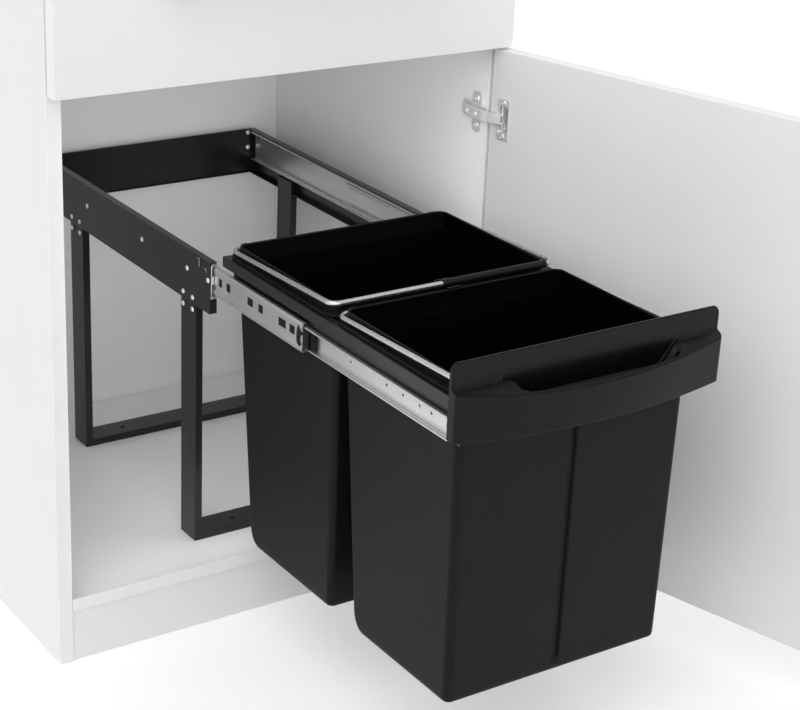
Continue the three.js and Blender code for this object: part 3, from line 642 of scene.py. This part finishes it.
def make_frame():
    edge = sizes().sheet_edge
    for side in SIDES:
        dress(f"frame_plate_{side}", [powder_coat()], edge)
        heads = Shape()
        for y, z in PLATE_RIVETS:
            rivet(heads, (0.0, y, z), LEFTWARD)
        for front in LEG_FRONTS.values():
            for y, z in LEG_RIVETS:
                rivet(heads, (0.0, front + y, z), LEFTWARD)
        heads.block(*CATCH, slot=1)
        heads.block(*CATCH_SLOT, slot=1)
        make(f"frame_rivets_{side}", on_side(heads, side), "cabinet",
             [nickel(), powder_coat()], [], 0.0002, 1)
    dress("frame_plate_back", [powder_coat()], edge)
    for name, front in LEG_FRONTS.items():
        dress(f"leg_frame_{name}", [powder_coat()], 0.0009, 3)
        screws = Shape()
        for x in (65, UNIT_WIDTH - 65):
            screw(screws, (x, front + 18.5, FOOT_TOP), UPWARD, 4.0, 1.4)
        make(f"foot_screws_{name}", screws, "cabinet", [powder_coat()], [])
    rear = Shape()
    for x, z in BACK_RIVETS:
        rivet(rear, (x, REAR_FACE, z), FORWARD, 0.9)
    make("rear_rivets", rear, "cabinet", [nickel()], [])


# ---- telescopic slides

SLIDE_Z = 440.3
OUTER_SPAN = (22, 488)
MIDDLE_SPAN = (-177, 233)
INNER_SPAN = (-447, -17)
INNER_WEB = (12.2, 13.4)
HOOK = -441  # in front of it the inner member's web is cut to a hook
WINDOWS = ((-160, -148.5), (-141, -124.5), (-90.5, -80), (-68, -55), (-15.5, -6), (4, 12))
INNER_HOLES = (-265, -334, -364, -394, -415)
BALL_ROWS = (("outer", 7.7, 18.7, (66, 244)), ("inner", 9.6, 14.0, (-160, 14)))
BALLS = 9
STOP_REAR = -177.4


def flipped(profile):
    """A slide's profile mirrored top to bottom, in the order that goes on from it."""
    return [(a, 2 * SLIDE_Z - b) for a, b in reversed(profile)]


def pierced_web(shape, x, span, heights, openings):
    """A web with windows: full-height parts between them, and bars above and below."""
    bottom, top, low, high = heights
    at = span[0]
    for start, end in openings:
        shape.block(x, (at, start), (bottom, top))
        shape.block(x, (start, end), (bottom, low))
        shape.block(x, (start, end), (high, top))
        at = end
    shape.block(x, (at, span[1]), (bottom, top))


def outer_member():
    z = SLIDE_Z
    half = [(1.8, z - 18), (2.6, z - 20.4), (4.4, z - 21), (8.6, z - 21), (10.4, z - 19.6),
            (10.4, z - 18.6), (9.2, z - 18.6), (8.2, z - 19.8), (4.8, z - 19.8), (3.4, z - 18.6),
            (3.0, z - 17)]
    return (Shape().prism(half + flipped(half), "Y", OUTER_SPAN)
            .block((2.2, 5.4), (22.2, 25), (z - 4, z + 6)))


def middle_member():
    """Two ball races, a web with windows between them, and a latch lever at the front end."""
    z = SLIDE_Z
    race = [(6.0, z + 9.5), (5.0, z + 10.8), (5.0, z + 15.6), (6.4, z + 17.3), (9.4, z + 17.5),
            (11.5, z + 16.4), (11.5, z + 15.2), (10.4, z + 15.4), (9.2, z + 16.3),
            (6.9, z + 16.1), (6.2, z + 15.0), (6.2, z + 11.4), (7.2, z + 10.2), (7.2, z + 9.5)]
    lever = [(-165.5, z - 3), (-167, z - 8.5), (-171.5, z - 11.5), (-173.5, z - 9),
             (-171, z - 4), (-172.5, z + 2), (-176.6, z + 3.5), (-176.6, z + 6),
             (-170, z + 7.5), (-171.5, z + 12), (-168.5, z + 13), (-166, z + 6)]
    shape = Shape().prism(race, "Y", MIDDLE_SPAN).prism(flipped(race), "Y", MIDDLE_SPAN)
    shape.block((5.3, 6.2), MIDDLE_SPAN, (z - 10.6, z - 9.9))
    pierced_web(shape, (6.0, 7.2), MIDDLE_SPAN, (z - 9.6, z + 9.6, z - 2.5, z + 7.5), WINDOWS)
    return shape.prism(lever, "X", (4.7, 6.1), 1)


def inner_member():
    """Two lips, a web with two ridges and a row of holes, and a hook at the front end."""
    z = SLIDE_Z
    lips = [(13.4, z + 9), (13.4, z + 12.2), (12.4, z + 13), (8.4, z + 13), (7.6, z + 12.2),
            (7.6, z + 11.0), (8.5, z + 10.6), (9.2, z + 11.6), (11.6, z + 11.7),
            (12.2, z + 11.0), (12.2, z + 9)]
    front, rear = INNER_SPAN
    shape = Shape().prism(lips, "Y", INNER_SPAN).prism(flipped(lips), "Y", INNER_SPAN)
    shape.block(INNER_WEB, (HOOK, rear), (z - 9.1, z + 9.1))
    for low in (z - 6.4, z - 8.6):
        shape.block((11.6, 12.3), (HOOK, rear), (low, low + 0.7))
    shape.block(INNER_WEB, (front, HOOK + 0.1), (z - 9.1, z - 2))
    shape.block(INNER_WEB, (front, HOOK + 0.1), (z + 5, z + 9.1))
    for y in INNER_HOLES:
        at = (12.25, y, z + 3.6)
        shape.turned([(2.6, 0), (2.4, 0.25), (1.7, 0.3), (1.6, 0.05)], at, LEFTWARD, 18)
        # Each hole is a thin black disc inside the ring: painted shade, as the web is not cut
        # through.
        shape.turned([(1.7, 0), (1.7, 0.12)], at, LEFTWARD, 18, 1)
    return shape


def ball_rows(x, above, span):
    """A row of balls above and one below the slide's middle."""
    radius = sizes().ball_radius / MM
    ball = [(max(0.02, radius * math.sin(math.pi * k / 6)), -radius * math.cos(math.pi * k / 6))
            for k in range(7)]
    shape = Shape()
    for sign in (-1, 1):
        for i in range(BALLS):
            y = span[0] + (span[1] - span[0]) * i / (BALLS - 1)
            shape.turned(ball, (x, y, SLIDE_Z + sign * above), REARWARD, 12)
    return shape


def slide_stop():
    z, rear = SLIDE_Z, STOP_REAR
    body = [(-199, z - 8), (-196, z - 10.4), (rear, z - 10.4), (rear, z + 10.4),
            (-193, z + 10.4), (-199, z + 6)]
    nose = [(-189, z - 10.4), (rear, z - 10.4), (rear, z + 10.4), (-189, z + 10.4)]
    shape = Shape().prism(body, "X", (8.0, 11.8)).prism(nose, "X", (5.4, 9.0))
    shape.turned([(2.2, 0), (2.2, 1.2), (1.4, 1.6)], (8.0, -194, z + 1.5), LEFTWARD, 16)
    return shape.block((7.2, 8.4), (-196.5, -191), (z - 6.5, z - 3.2))


def make_slides():
    for side in SIDES:
        make(f"slide_outer_{side}_rolled", on_side(outer_member(), side), "cabinet", [zinc()],
             [f"slide_outer_{side}"], 0.00015, 1)
        make(f"slide_middle_{side}_rolled", on_side(middle_member(), side),
             f"middle_member_{side}", [zinc(), black_nylon()],
             [f"slide_middle_{side}"])
        # The inner member's black nylon only fills its holes, as painted shade.
        make(f"slide_inner_{side}_rolled", on_side(inner_member(), side), "carriage",
             [zinc(), black_nylon()], [f"slide_inner_{side}"], 0.00012, 1)
        for which, x, above, span in BALL_ROWS:
            inner = which == "inner"
            dress(f"ball_retainer_{which}_{side}", [black_nylon() if inner else zinc()],
                  0.00012, 1)
            make(f"balls_{which}_{side}", on_side(ball_rows(x, above, span), side),
                 f"retainer_{which}_{side}", [nickel()], [])
        make(f"slide_stop_{side}_moulded", on_side(slide_stop(), side), f"middle_member_{side}",
             [black_nylon()], [f"slide_stop_{side}"], 0.0004, 2)


# ---- carriage

PANEL_SCREWS = ((45, 449), (45, 470), (286, 449), (286, 470))
PANEL_SCREW_Y = -462.2


def make_carriage():
    edge = sizes().sheet_edge
    for side in SIDES:
        dress(f"carriage_rail_{side}", [powder_coat()], edge)
    for where in ("rear", "middle", "front"):
        dress(f"carriage_cross_{where}", [powder_coat()], edge)
    heads = Shape()
    for x, z in PANEL_SCREWS:
        screw(heads, (x, PANEL_SCREW_Y, z), REARWARD, 3.5, 1.8)
    make("panel_screws", heads, "carriage", [nickel()], [])
    for node in ("drawer_runner_fixed", "drawer_runner_moving"):
        for side in SIDES:
            dress(f"{node}_{side}", [zinc()], edge)


# ---- handle panel

PANEL_X = (-6.0, 337.0)
PANEL_FOOT = 438.0
PANEL_TOP = 521.0
PANEL_BACK = -466.5
LIP_FRONT = -470.0
BOW_END = -480.0
BOW_FRONT = -501.0
BOW_CORNER = 4.0
LEDGE_BACK_Z = 494.0
LEDGE_SLOPE = 13.5 / 31.0
RECESS_FLOOR = 459.0
RECESS_ENDS = (66, 276)  # where the recess begins and ends, halfway from front to back
RECESS_RAMPS = (10.0, 28.0)
PANEL_WALL = 2.4
TOP_CORNER = 8.0
FRONT_ROUND = 3.2  # rounding of the ledge's front edge
FILLET_STEPS = (1.0, 0.55, 0.25, 0.08)
PANEL_ENDS = (0, 0.5, 1.4, 2.7, 4.4, 6.4, 8.5, 11)  # stations in from each end
HOLLOW_STEPS = 160
HOLLOW_BACK = -460.0
HOLLOW_FOOT = 400.0
BACK_WALL = ((17, UNIT_WIDTH - 17), (-469.3, -467.0), (442, 488))


def soft_step(value):
    value = min(1.0, max(0.0, value))
    return value * value * (3 - 2 * value)


def round_over(near, radius):
    """How far a rounded corner has fallen back, at a distance from the end."""
    if near >= radius:
        return 0.0
    return radius - math.sqrt(max(0.0, radius ** 2 - (radius - near) ** 2))


def bow(x):
    """The front of the handle panel seen from above."""
    x0, x1 = PANEL_X
    t = (x - (x0 + x1) / 2) / ((x1 - x0) / 2)
    y = BOW_FRONT + (BOW_END - BOW_FRONT) * t * t
    return y + round_over(min(x - x0, x1 - x), BOW_CORNER)


def recess_share(x, y, grow=0.0):
    """How far the surface has sunk into the finger recess, from 0 on the ledge to 1."""
    front = bow(x)
    v = (y - front) / (LIP_FRONT - front)
    back_bend = max(0.0, (v - 0.70) / 0.30) ** 2
    front_bend = max(0.0, (0.42 - v) / 0.42) ** 2
    left = RECESS_ENDS[0] - 12 * back_bend + 20 * front_bend - grow
    right = RECESS_ENDS[1] + 6 * back_bend - 14 * front_bend + grow
    sides = soft_step((x - left) / RECESS_RAMPS[0]) * soft_step((right - x) / RECESS_RAMPS[1])
    bowl = 1.0 - 0.3 * max(0.0, v) ** 1.4
    return sides * bowl * soft_step((y - front - 3.0 + grow) / 7.0)


def ledge(x, y, grow=0.0):
    """The height of the ledge behind the bowed front, sunk where the recess is."""
    slope = LEDGE_BACK_Z - LEDGE_SLOPE * (LIP_FRONT - y)
    return slope + (RECESS_FLOOR - slope) * recess_share(x, y, grow)


def panel_stations():
    """Places across the panel, closer where its corners and the recess's ends turn."""
    x0, x1 = PANEL_X
    middle, x = [], x0 + 16
    while x < x1 - 14:
        middle.append(x)
        x += 1.8 if 46 < x < 104 or 228 < x < 286 else 6.0
    return [x0 + e for e in PANEL_ENDS] + middle + [x1 - e for e in reversed(PANEL_ENDS)]


def panel_section(x):
    """The panel cut across at one place: up the back, over the lip, along the ledge, down."""
    top = PANEL_TOP - round_over(min(x - PANEL_X[0], PANEL_X[1] - x), TOP_CORNER)
    front = bow(x)
    foot = PANEL_FOOT + 2.0 * max(0.0, 1 - (x - PANEL_X[0]) / 70) ** 2
    points = [(PANEL_BACK, foot), (PANEL_BACK, 470), (PANEL_BACK, top - 3),
              (PANEL_BACK, top - 1.2), (PANEL_BACK - 0.4, top - 0.35), (PANEL_BACK - 1.2, top),
              (LIP_FRONT + 1.2, top), (LIP_FRONT + 0.4, top - 0.35), (LIP_FRONT, top - 1.2),
              (LIP_FRONT, top - 4), (LIP_FRONT, LEDGE_BACK_Z + 8)]
    share = recess_share(x, LIP_FRONT)
    base = ledge(x, LIP_FRONT)
    for t in FILLET_STEPS:
        points.append((LIP_FRONT - (1 - t) ** 2 * 1.6,
                       base + (1 - share) * 2.4 * t * t + share * 3.0 * t))
    start, end = LIP_FRONT - 2.6, front + FRONT_ROUND
    for i in range(17):
        y = start + (end - start) * i / 16
        points.append((y, ledge(x, y)))
    edge_z = points[-1][1]
    for i in range(1, 7):
        t = math.pi / 2 * i / 6
        points.append((front + FRONT_ROUND * (1 - math.sin(t)),
                       edge_z - 3.0 * (1 - math.cos(t)) - 0.3 * i / 6))
    points += [(front, edge_z - 9), (front + 0.3, foot + 1.4), (front + 0.8, foot + 0.4),
               (front + 1.6, foot)]
    return [(x, y, z) for y, z in points]


def hollow_section(x):
    """The hollow under the panel cut across at one place."""
    front = bow(x) + PANEL_WALL
    ring = [(x, HOLLOW_BACK, HOLLOW_FOOT), (x, HOLLOW_BACK, LEDGE_BACK_Z - PANEL_WALL)]
    for i in range(9):
        y = -466.0 + (front + 466.0) * i / 8
        ring.append((x, y, ledge(x, min(y, LIP_FRONT), 5.0) - PANEL_WALL))
    return ring + [(x, front, HOLLOW_FOOT)]


def make_handle_panel():
    """A bowed moulding with a lip and a finger recess, hollow below and open behind."""
    solid = Shape().skin([panel_section(x) for x in panel_stations()])
    obj = make("bowed_handle_panel", solid, "carriage", [panel_plastic()],
               ["handle_panel"])
    rings = []
    x = PANEL_X[0] + PANEL_WALL
    while x <= PANEL_X[1] - PANEL_WALL + 0.01:
        rings.append(hollow_section(x))
        x += (PANEL_X[1] - PANEL_X[0] - 2 * PANEL_WALL) / HOLLOW_STEPS
    cut_away(obj, "panel_hollow", Shape().skin(rings))
    make("panel_back_wall", Shape().block(*BACK_WALL), "carriage", [panel_plastic()],
         [], 0.0004, 2)


# ---- bins

RIM_X = (10.0, 321.0)
RIM_LENGTH = 230.0
RIM_RADIUS, COLLAR_RADIUS, BODY_RADIUS = 20.0, 12.0, 9.0
COLLAR_SIDES, COLLAR_FRONT, COLLAR_REAR = 10.7, 16, 6  # in from the rim
BODY_SIDES, BODY_FRONT, BODY_REAR = 7, 1.5, 13.5  # in from the rim, at the shoulder
DRAFT_SIDES, DRAFT_FRONT, DRAFT_REAR = 5, 0.5, 30  # further in at the foot
BIN_REAR = {"rear": 3.5, "front": -227.5}
BIN_FOOT = 122.0
HEEL = 22.0  # rounding of the body's lower rear edge
SHOULDER = 469.0
FLANGE = (477.8, 480.4)
RIM_TOP = 491.0
BIN_WALL = 2.6
GROOVE_DEPTH = 4.0
GROOVE_TOP = 412.0
BODY_STEPS = 5
PIVOT_Z = 484.0
WIRE_Z = 491.5
WIRE_SIDE = 16.3
PIVOT_INSET = 2.8
WIRE_FRONT = 8.5


def bin_loop(x, y, radius, z, notch=0.0, steps=9):
    """A rounded rectangle with a notch in the middle of its front side."""
    x0, x1 = x
    y0, y1 = y
    middle = (x0 + x1) / 2
    ring = [(middle - 6, y0), (middle - 4.6, y0 + notch * 0.25), (middle - 3.4, y0 + notch),
            (middle + 3.4, y0 + notch), (middle + 4.6, y0 + notch * 0.25), (middle + 6, y0)]
    for cx, cy, start in ((x1 - radius, y0 + radius, -90), (x1 - radius, y1 - radius, 0),
                          (x0 + radius, y1 - radius, 90), (x0 + radius, y0 + radius, 180)):
        for i in range(steps + 1):
            t = math.radians(start + 90 * i / steps)
            ring.append((cx + radius * math.cos(t), cy + radius * math.sin(t)))
    return [(a, b, z) for a, b in ring]


def bin_shell(rear):
    """A bin's skin, up the outside, over the rim and down the inside."""
    front = rear - RIM_LENGTH
    foot, wall, groove = BIN_FOOT, BIN_WALL, GROOVE_TOP
    low, high = FLANGE

    def body(z, inset, notch=GROOVE_DEPTH):
        down = (SHOULDER - z) / (SHOULDER - foot)
        lift = max(0.0, 1 - (z - foot) / HEEL)
        heel = HEEL * (1 - math.sqrt(1 - lift * lift))
        side = BODY_SIDES + DRAFT_SIDES * down + inset
        return bin_loop((RIM_X[0] + side, RIM_X[1] - side),
                        (front + BODY_FRONT + DRAFT_FRONT * down + inset,
                         rear - BODY_REAR - DRAFT_REAR * down - heel - inset),
                        max(2.0, BODY_RADIUS - inset), z, notch)

    def collar(z, inset):
        return bin_loop((RIM_X[0] + COLLAR_SIDES + inset, RIM_X[1] - COLLAR_SIDES - inset),
                        (front + COLLAR_FRONT + inset, rear - COLLAR_REAR - inset),
                        COLLAR_RADIUS - inset, z)

    def rim(z, inset):
        return bin_loop((RIM_X[0] + inset, RIM_X[1] - inset), (front + inset, rear - inset),
                        RIM_RADIUS - inset, z)

    climb = groove - foot - HEEL
    rings = [body(foot, 30, 0), body(foot, 5, 0), body(foot + 0.8, 2.6, 0),
             body(foot + 2.4, 0.9, 0), body(foot + 5, 0.2, 0), body(foot + 8, 0, 0),
             body(foot + 11, 0, 2.5), body(foot + 15, 0), body(foot + HEEL, 0)]
    rings += [body(foot + HEEL + climb * i / BODY_STEPS, 0) for i in range(1, BODY_STEPS + 1)]
    rings += [body(groove + 2, 0, 1.2), body(groove + 4, 0, 0), body(440, 0, 0),
              body(SHOULDER - 2, 0, 0), body(SHOULDER, 0.5, 0), collar(low - 0.5, 0),
              rim(low, 0.9), rim(low + 0.5, 0.15), rim(low + 1.4, 0), rim(high - 0.5, 0.2),
              rim(high, 1.0), collar(high, -0.8), collar(high + 1.0, 0), collar(RIM_TOP - 1.0, 0),
              collar(RIM_TOP - 0.3, 0.4), collar(RIM_TOP, 1.1), collar(RIM_TOP, 1.7),
              collar(RIM_TOP - 0.5, 2.4), collar(RIM_TOP - 1.4, wall)]
    outside = (len(rings) - 1) * len(rings[0])
    rings += [collar(low - 2, wall), body(SHOULDER - 3, wall, 0), body(groove + 4, wall, 0),
              body(groove + 2, wall, 1.2)]
    rings += [body(groove - climb * i / BODY_STEPS, wall) for i in range(BODY_STEPS + 1)]
    rings += [body(foot + 13, wall), body(foot + 6, wall + 1.2, 0),
              body(foot + 3.4, wall + 4.5, 0), body(foot + wall, 14, 0),
              body(foot + wall, 30, 0)]
    shell = Shape().skin(rings)
    under = len(shell.slots) - 2  # the cap below the foot, which comes last but one
    # The faces inside the rim take the second material, the darker inside of painted shade; the
    # cap below the foot keeps the outer plastic.
    shell.slots = [int(i >= outside and i != under) for i in range(len(shell.slots))]
    return shell


def make_bins():
    for where, rear in BIN_REAR.items():
        shell = bin_shell(rear)
        front, collar_back, on_rim = rear - RIM_LENGTH, rear - COLLAR_REAR, FLANGE[1] - 0.5
        for x in (31, UNIT_WIDTH - 38):  # the eyes that the wire turns in
            shell.block((x, x + 7), (collar_back - 1, rear + 0.4), (on_rim, PIVOT_Z + 4.5))
        for x, under_wire in ((42, 3.2), (281, 4.8)):  # the rests below the wire
            shell.block((x, x + 8), (front + 6, front + 17), (on_rim, WIRE_Z - under_wire))
        for y in (front + 16.2, collar_back - 2.4)[: 1 if where == "rear" else 2]:
            shell.block((155, 173), (y, y + 2.2), (RIM_TOP - 2, RIM_TOP + 1.8))
        make(f"bin_{where}_moulded", shell, f"bin_{where}", [bin_plastic(), bin_inside()],
             [f"bin_{where}"])


def bail_path(where):
    """The wire's middle: out of one pivot, round three sides of the rim, into the other."""
    rear = BIN_REAR[where] - PIVOT_INSET
    front = BIN_REAR[where] - RIM_LENGTH + WIRE_FRONT
    left, right = WIRE_SIDE, UNIT_WIDTH - WIRE_SIDE
    stops = [(left + 24, rear, PIVOT_Z), (left, rear, PIVOT_Z), (left, front, WIRE_Z),
             (right, front, WIRE_Z), (right, rear, PIVOT_Z), (right - 24, rear, PIVOT_Z)]
    stops = [Vector(stop) for stop in stops]
    path = [stops[0]]
    for i, radius in enumerate((12, 11, 11, 12)):
        before, corner, after = stops[i:i + 3]
        toward, away = (before - corner).normalized(), (after - corner).normalized()
        centre = corner + (toward + away) * radius
        for k in range(9):
            t = math.pi / 2 * k / 8
            path.append(centre - away * radius * math.cos(t) - toward * radius * math.sin(t))
    path.append(stops[-1])
    return path


RIBS = 14
GRIP_EDGE = 0.9


def grip_sleeve(where):
    """A sleeve with shallow ribs on the right half of the wire's front run."""
    y = BIN_REAR[where] - RIM_LENGTH + WIRE_FRONT
    start, end = UNIT_WIDTH / 2 - 6, UNIT_WIDTH - WIRE_SIDE - 11.5
    span = end - start
    outer = sizes().grip_radius / MM
    bore = sizes().wire_radius / MM + 0.3
    profile = [(outer - GRIP_EDGE, 0), (outer, GRIP_EDGE)]
    for i in range(RIBS):
        at = 6 + (span - 12) * i / (RIBS - 1)
        profile += [(outer, at - 1.2), (outer - 0.35, at), (outer, at + 1.2)]
    profile += [(outer, span - GRIP_EDGE), (outer - GRIP_EDGE, span), (bore, span), (bore, 0)]
    return Shape().skin([[(start + along, y + radius * c, WIRE_Z + radius * s)
                          for c, s in circle(20)] for radius, along in profile], closed=True)


def make_bails():
    for where in WHERE:
        wire = Shape().tube(bail_path(where), sizes().wire_radius / MM, 18)
        make(f"wire_bail_{where}", wire, f"bail_{where}", [drawn_wire()],
             [f"bail_{where}"])
        make(f"grip_sleeve_{where}", grip_sleeve(where), f"bail_{where}", [black_nylon()],
             [f"bail_grip_{where}"])


# ---- stage

AMBIENT = 0.78
SUNS = (  # name, strength, spread in degrees, direction
    ("front", 1.05, 60, (0.2, 0.97, -0.05)),
    ("side", 1.1, 60, (0.62, 0.3, -0.75)),
)
FILL_ENERGY = 0.85
FILL_SIZE = (0.54, 0.56)
FILL_PLACE = (0.0, -0.02, 0.39)
FLOOR_SHADE, FLOOR_LIFT = 0.72, 0.36
FLOOR_REACH = 20.0
FLOOR_Z = -0.0004  # just below the cabinet's feet, so that no two faces share a plane
CAMERA_PLACE = Vector((-1.114391, -1.857917, 1.234153))
CAMERA_YAW, CAMERA_PITCH, CAMERA_ROLL = 0.60693947, -0.39106014, 0.04703354
CAMERA_LENS = 87.448


def seen_rays(tree):
    """An output that is 1 for what the camera sees, straight or reflected or through."""
    rays = tree.nodes.new("ShaderNodeLightPath")
    seen = rays.outputs["Is Camera Ray"]
    for other in ("Is Glossy Ray", "Is Transmission Ray"):
        both = tree.nodes.new("ShaderNodeMath")
        both.operation = "MAXIMUM"
        tree.links.new(seen, both.inputs[0])
        tree.links.new(rays.outputs[other], both.inputs[1])
        seen = both.outputs[0]
    return seen


def pale_surface(name, shade, lift):
    """A diffuse surface that shows white to the camera and in reflections, and keeps shadows."""
    material = bpy.data.materials.new(name)
    material.use_nodes = True
    tree = material.node_tree
    shader = tree.nodes["Principled BSDF"]
    shader.inputs["Base Color"].default_value = (shade, shade, shade, 1)
    shader.inputs["Roughness"].default_value = 0.9
    shader.inputs["Specular IOR Level"].default_value = 0.1
    seen = seen_rays(tree)
    strength = tree.nodes.new("ShaderNodeMath")
    strength.operation = "MULTIPLY"
    strength.inputs[1].default_value = lift
    tree.links.new(seen, strength.inputs[0])
    glow = tree.nodes.new("ShaderNodeEmission")
    tree.links.new(strength.outputs[0], glow.inputs["Strength"])
    total = tree.nodes.new("ShaderNodeAddShader")
    tree.links.new(shader.outputs["BSDF"], total.inputs[0])
    tree.links.new(glow.outputs["Emission"], total.inputs[1])
    tree.links.new(total.outputs["Shader"], tree.nodes["Material Output"].inputs["Surface"])
    return material


def make_world():
    """An even light from all round, and white where the camera looks past the floor."""
    world = bpy.data.worlds.new("studio")
    bpy.context.scene.world = world
    world.use_nodes = True
    tree = world.node_tree
    sky = tree.nodes["Background"]
    sky.inputs["Color"].default_value = (1, 1, 1, 1)
    sky.inputs["Strength"].default_value = AMBIENT
    white = tree.nodes.new("ShaderNodeBackground")
    white.inputs["Strength"].default_value = 1.0
    seen = seen_rays(tree)
    choose = tree.nodes.new("ShaderNodeMixShader")
    tree.links.new(seen, choose.inputs["Fac"])
    tree.links.new(sky.outputs["Background"], choose.inputs[1])
    tree.links.new(white.outputs["Background"], choose.inputs[2])
    tree.links.new(choose.outputs["Shader"], tree.nodes["World Output"].inputs["Surface"])


def make_lamp(name, kind, energy, direction):
    lamp = bpy.data.lights.new(name, kind)
    lamp.energy = energy
    obj = add_object(name, lamp)
    obj.rotation_mode = "QUATERNION"
    obj.rotation_quaternion = Vector(direction).to_track_quat("-Z", "Y")
    return obj


def make_lamps():
    """Two broad suns, and a soft lamp in the cabinet's opening that faces in."""
    for name, strength, spread, direction in SUNS:
        make_lamp(name, "SUN", strength, direction).data.angle = math.radians(spread)
    fill = make_lamp("inner_fill", "AREA", FILL_ENERGY, REARWARD)
    fill.data.shape = "RECTANGLE"
    fill.data.size, fill.data.size_y = FILL_SIZE
    fill.location = FILL_PLACE
    fill.visible_camera = False
    fill.visible_glossy = False


def make_camera():
    yaw, pitch, roll = CAMERA_YAW, CAMERA_PITCH, CAMERA_ROLL
    ahead = Vector((math.sin(yaw) * math.cos(pitch), math.cos(yaw) * math.cos(pitch),
                    math.sin(pitch)))
    right = Vector((math.cos(yaw), -math.sin(yaw), 0))
    up = right.cross(ahead)
    across = right * math.cos(roll) + up * math.sin(roll)
    upward = up * math.cos(roll) - right * math.sin(roll)
    data = bpy.data.cameras.new("view")
    data.sensor_width = 36
    data.lens = CAMERA_LENS
    data.clip_end = 60
    camera = add_object("view", data)
    columns = (across, upward, -ahead, CAMERA_PLACE)
    camera.matrix_world = Matrix([[c[i] for c in columns] for i in range(3)] + [[0, 0, 0, 1]])
    bpy.context.scene.camera = camera


def make_stage():
    bpy.context.scene.view_settings.view_transform = "Standard"
    make_camera()
    make_world()
    make_lamps()
    mesh = bpy.data.meshes.new("studio_floor")
    corners = ((-1, -1), (1, -1), (1, 1), (-1, 1))
    mesh.from_pydata([(x * FLOOR_REACH, y * FLOOR_REACH, FLOOR_Z) for x, y in corners], [],
                     [(0, 1, 2, 3)])
    mesh.materials.append(pale_surface("studio_floor", FLOOR_SHADE, FLOOR_LIFT))
    add_object("studio_floor", mesh)


# ---- operators


def operator(name, label, about, work):
    """An operator that makes one group of pieces."""

    def execute(self, context):
        work()
        return {"FINISHED"}

    return type(f"BINCABINET_OT_{name}", (Operator,), {
        "bl_idname": f"bin_cabinet.{name}", "bl_label": label, "__doc__": about,
        "bl_options": {"REGISTER", "UNDO"}, "execute": execute,
    })


OPERATORS = [
    operator("stage", "Stage", "Makes the camera, lamps, world and floor", make_stage),
    operator("boards", "Boards", "Makes the carcass, drawer and back boards", make_boards),
    operator("door", "Door", "Makes the door leaf with its cup bores", make_door),
    operator("hinges", "Hinges", "Makes the two cup hinges", make_hinges),
    operator("handles", "Bar handles", "Makes the drawer's and the door's handle", make_handles),
    operator("frame", "Frame", "Makes the pull-out frame with rivets and legs", make_frame),
    operator("slides", "Slides", "Makes the telescopic slides", make_slides),
    operator("carriage", "Carriage", "Makes rails, cross members and runners", make_carriage),
    operator("handle_panel", "Handle panel", "Makes the bowed handle panel", make_handle_panel),
    operator("bins", "Bins", "Makes the two bins", make_bins),
    operator("bails", "Bails", "Makes the wire bails and their grips", make_bails),
]


class BINCABINET_PT_panel(Panel):
    """Lists the pieces, their sizes and their colours."""

    bl_label = "Bin cabinet"
    bl_idname = "BINCABINET_PT_panel"
    bl_space_type = "VIEW_3D"
    bl_region_type = "UI"
    bl_category = "Bin cabinet"

    def draw(self, context):
        for made in OPERATORS:
            self.layout.operator(made.bl_idname)
        for group in (sizes(), colours()):
            for name in group.__annotations__:
                self.layout.prop(group, name)


CLASSES = [BinCabinetSizes, BinCabinetColours, *OPERATORS, BINCABINET_PT_panel]


def register():
    for made in CLASSES:
        bpy.utils.register_class(made)
    bpy.types.Scene.bin_cabinet_sizes = PointerProperty(type=BinCabinetSizes)
    bpy.types.Scene.bin_cabinet_colours = PointerProperty(type=BinCabinetColours)


def unregister():
    del bpy.types.Scene.bin_cabinet_colours
    del bpy.types.Scene.bin_cabinet_sizes
    for made in reversed(CLASSES):
        bpy.utils.unregister_class(made)


def main():
    register()
    for made in OPERATORS:
        group, name = made.bl_idname.split(".")
        getattr(getattr(bpy.ops, group), name)()


if __name__ == "__main__":
    main()
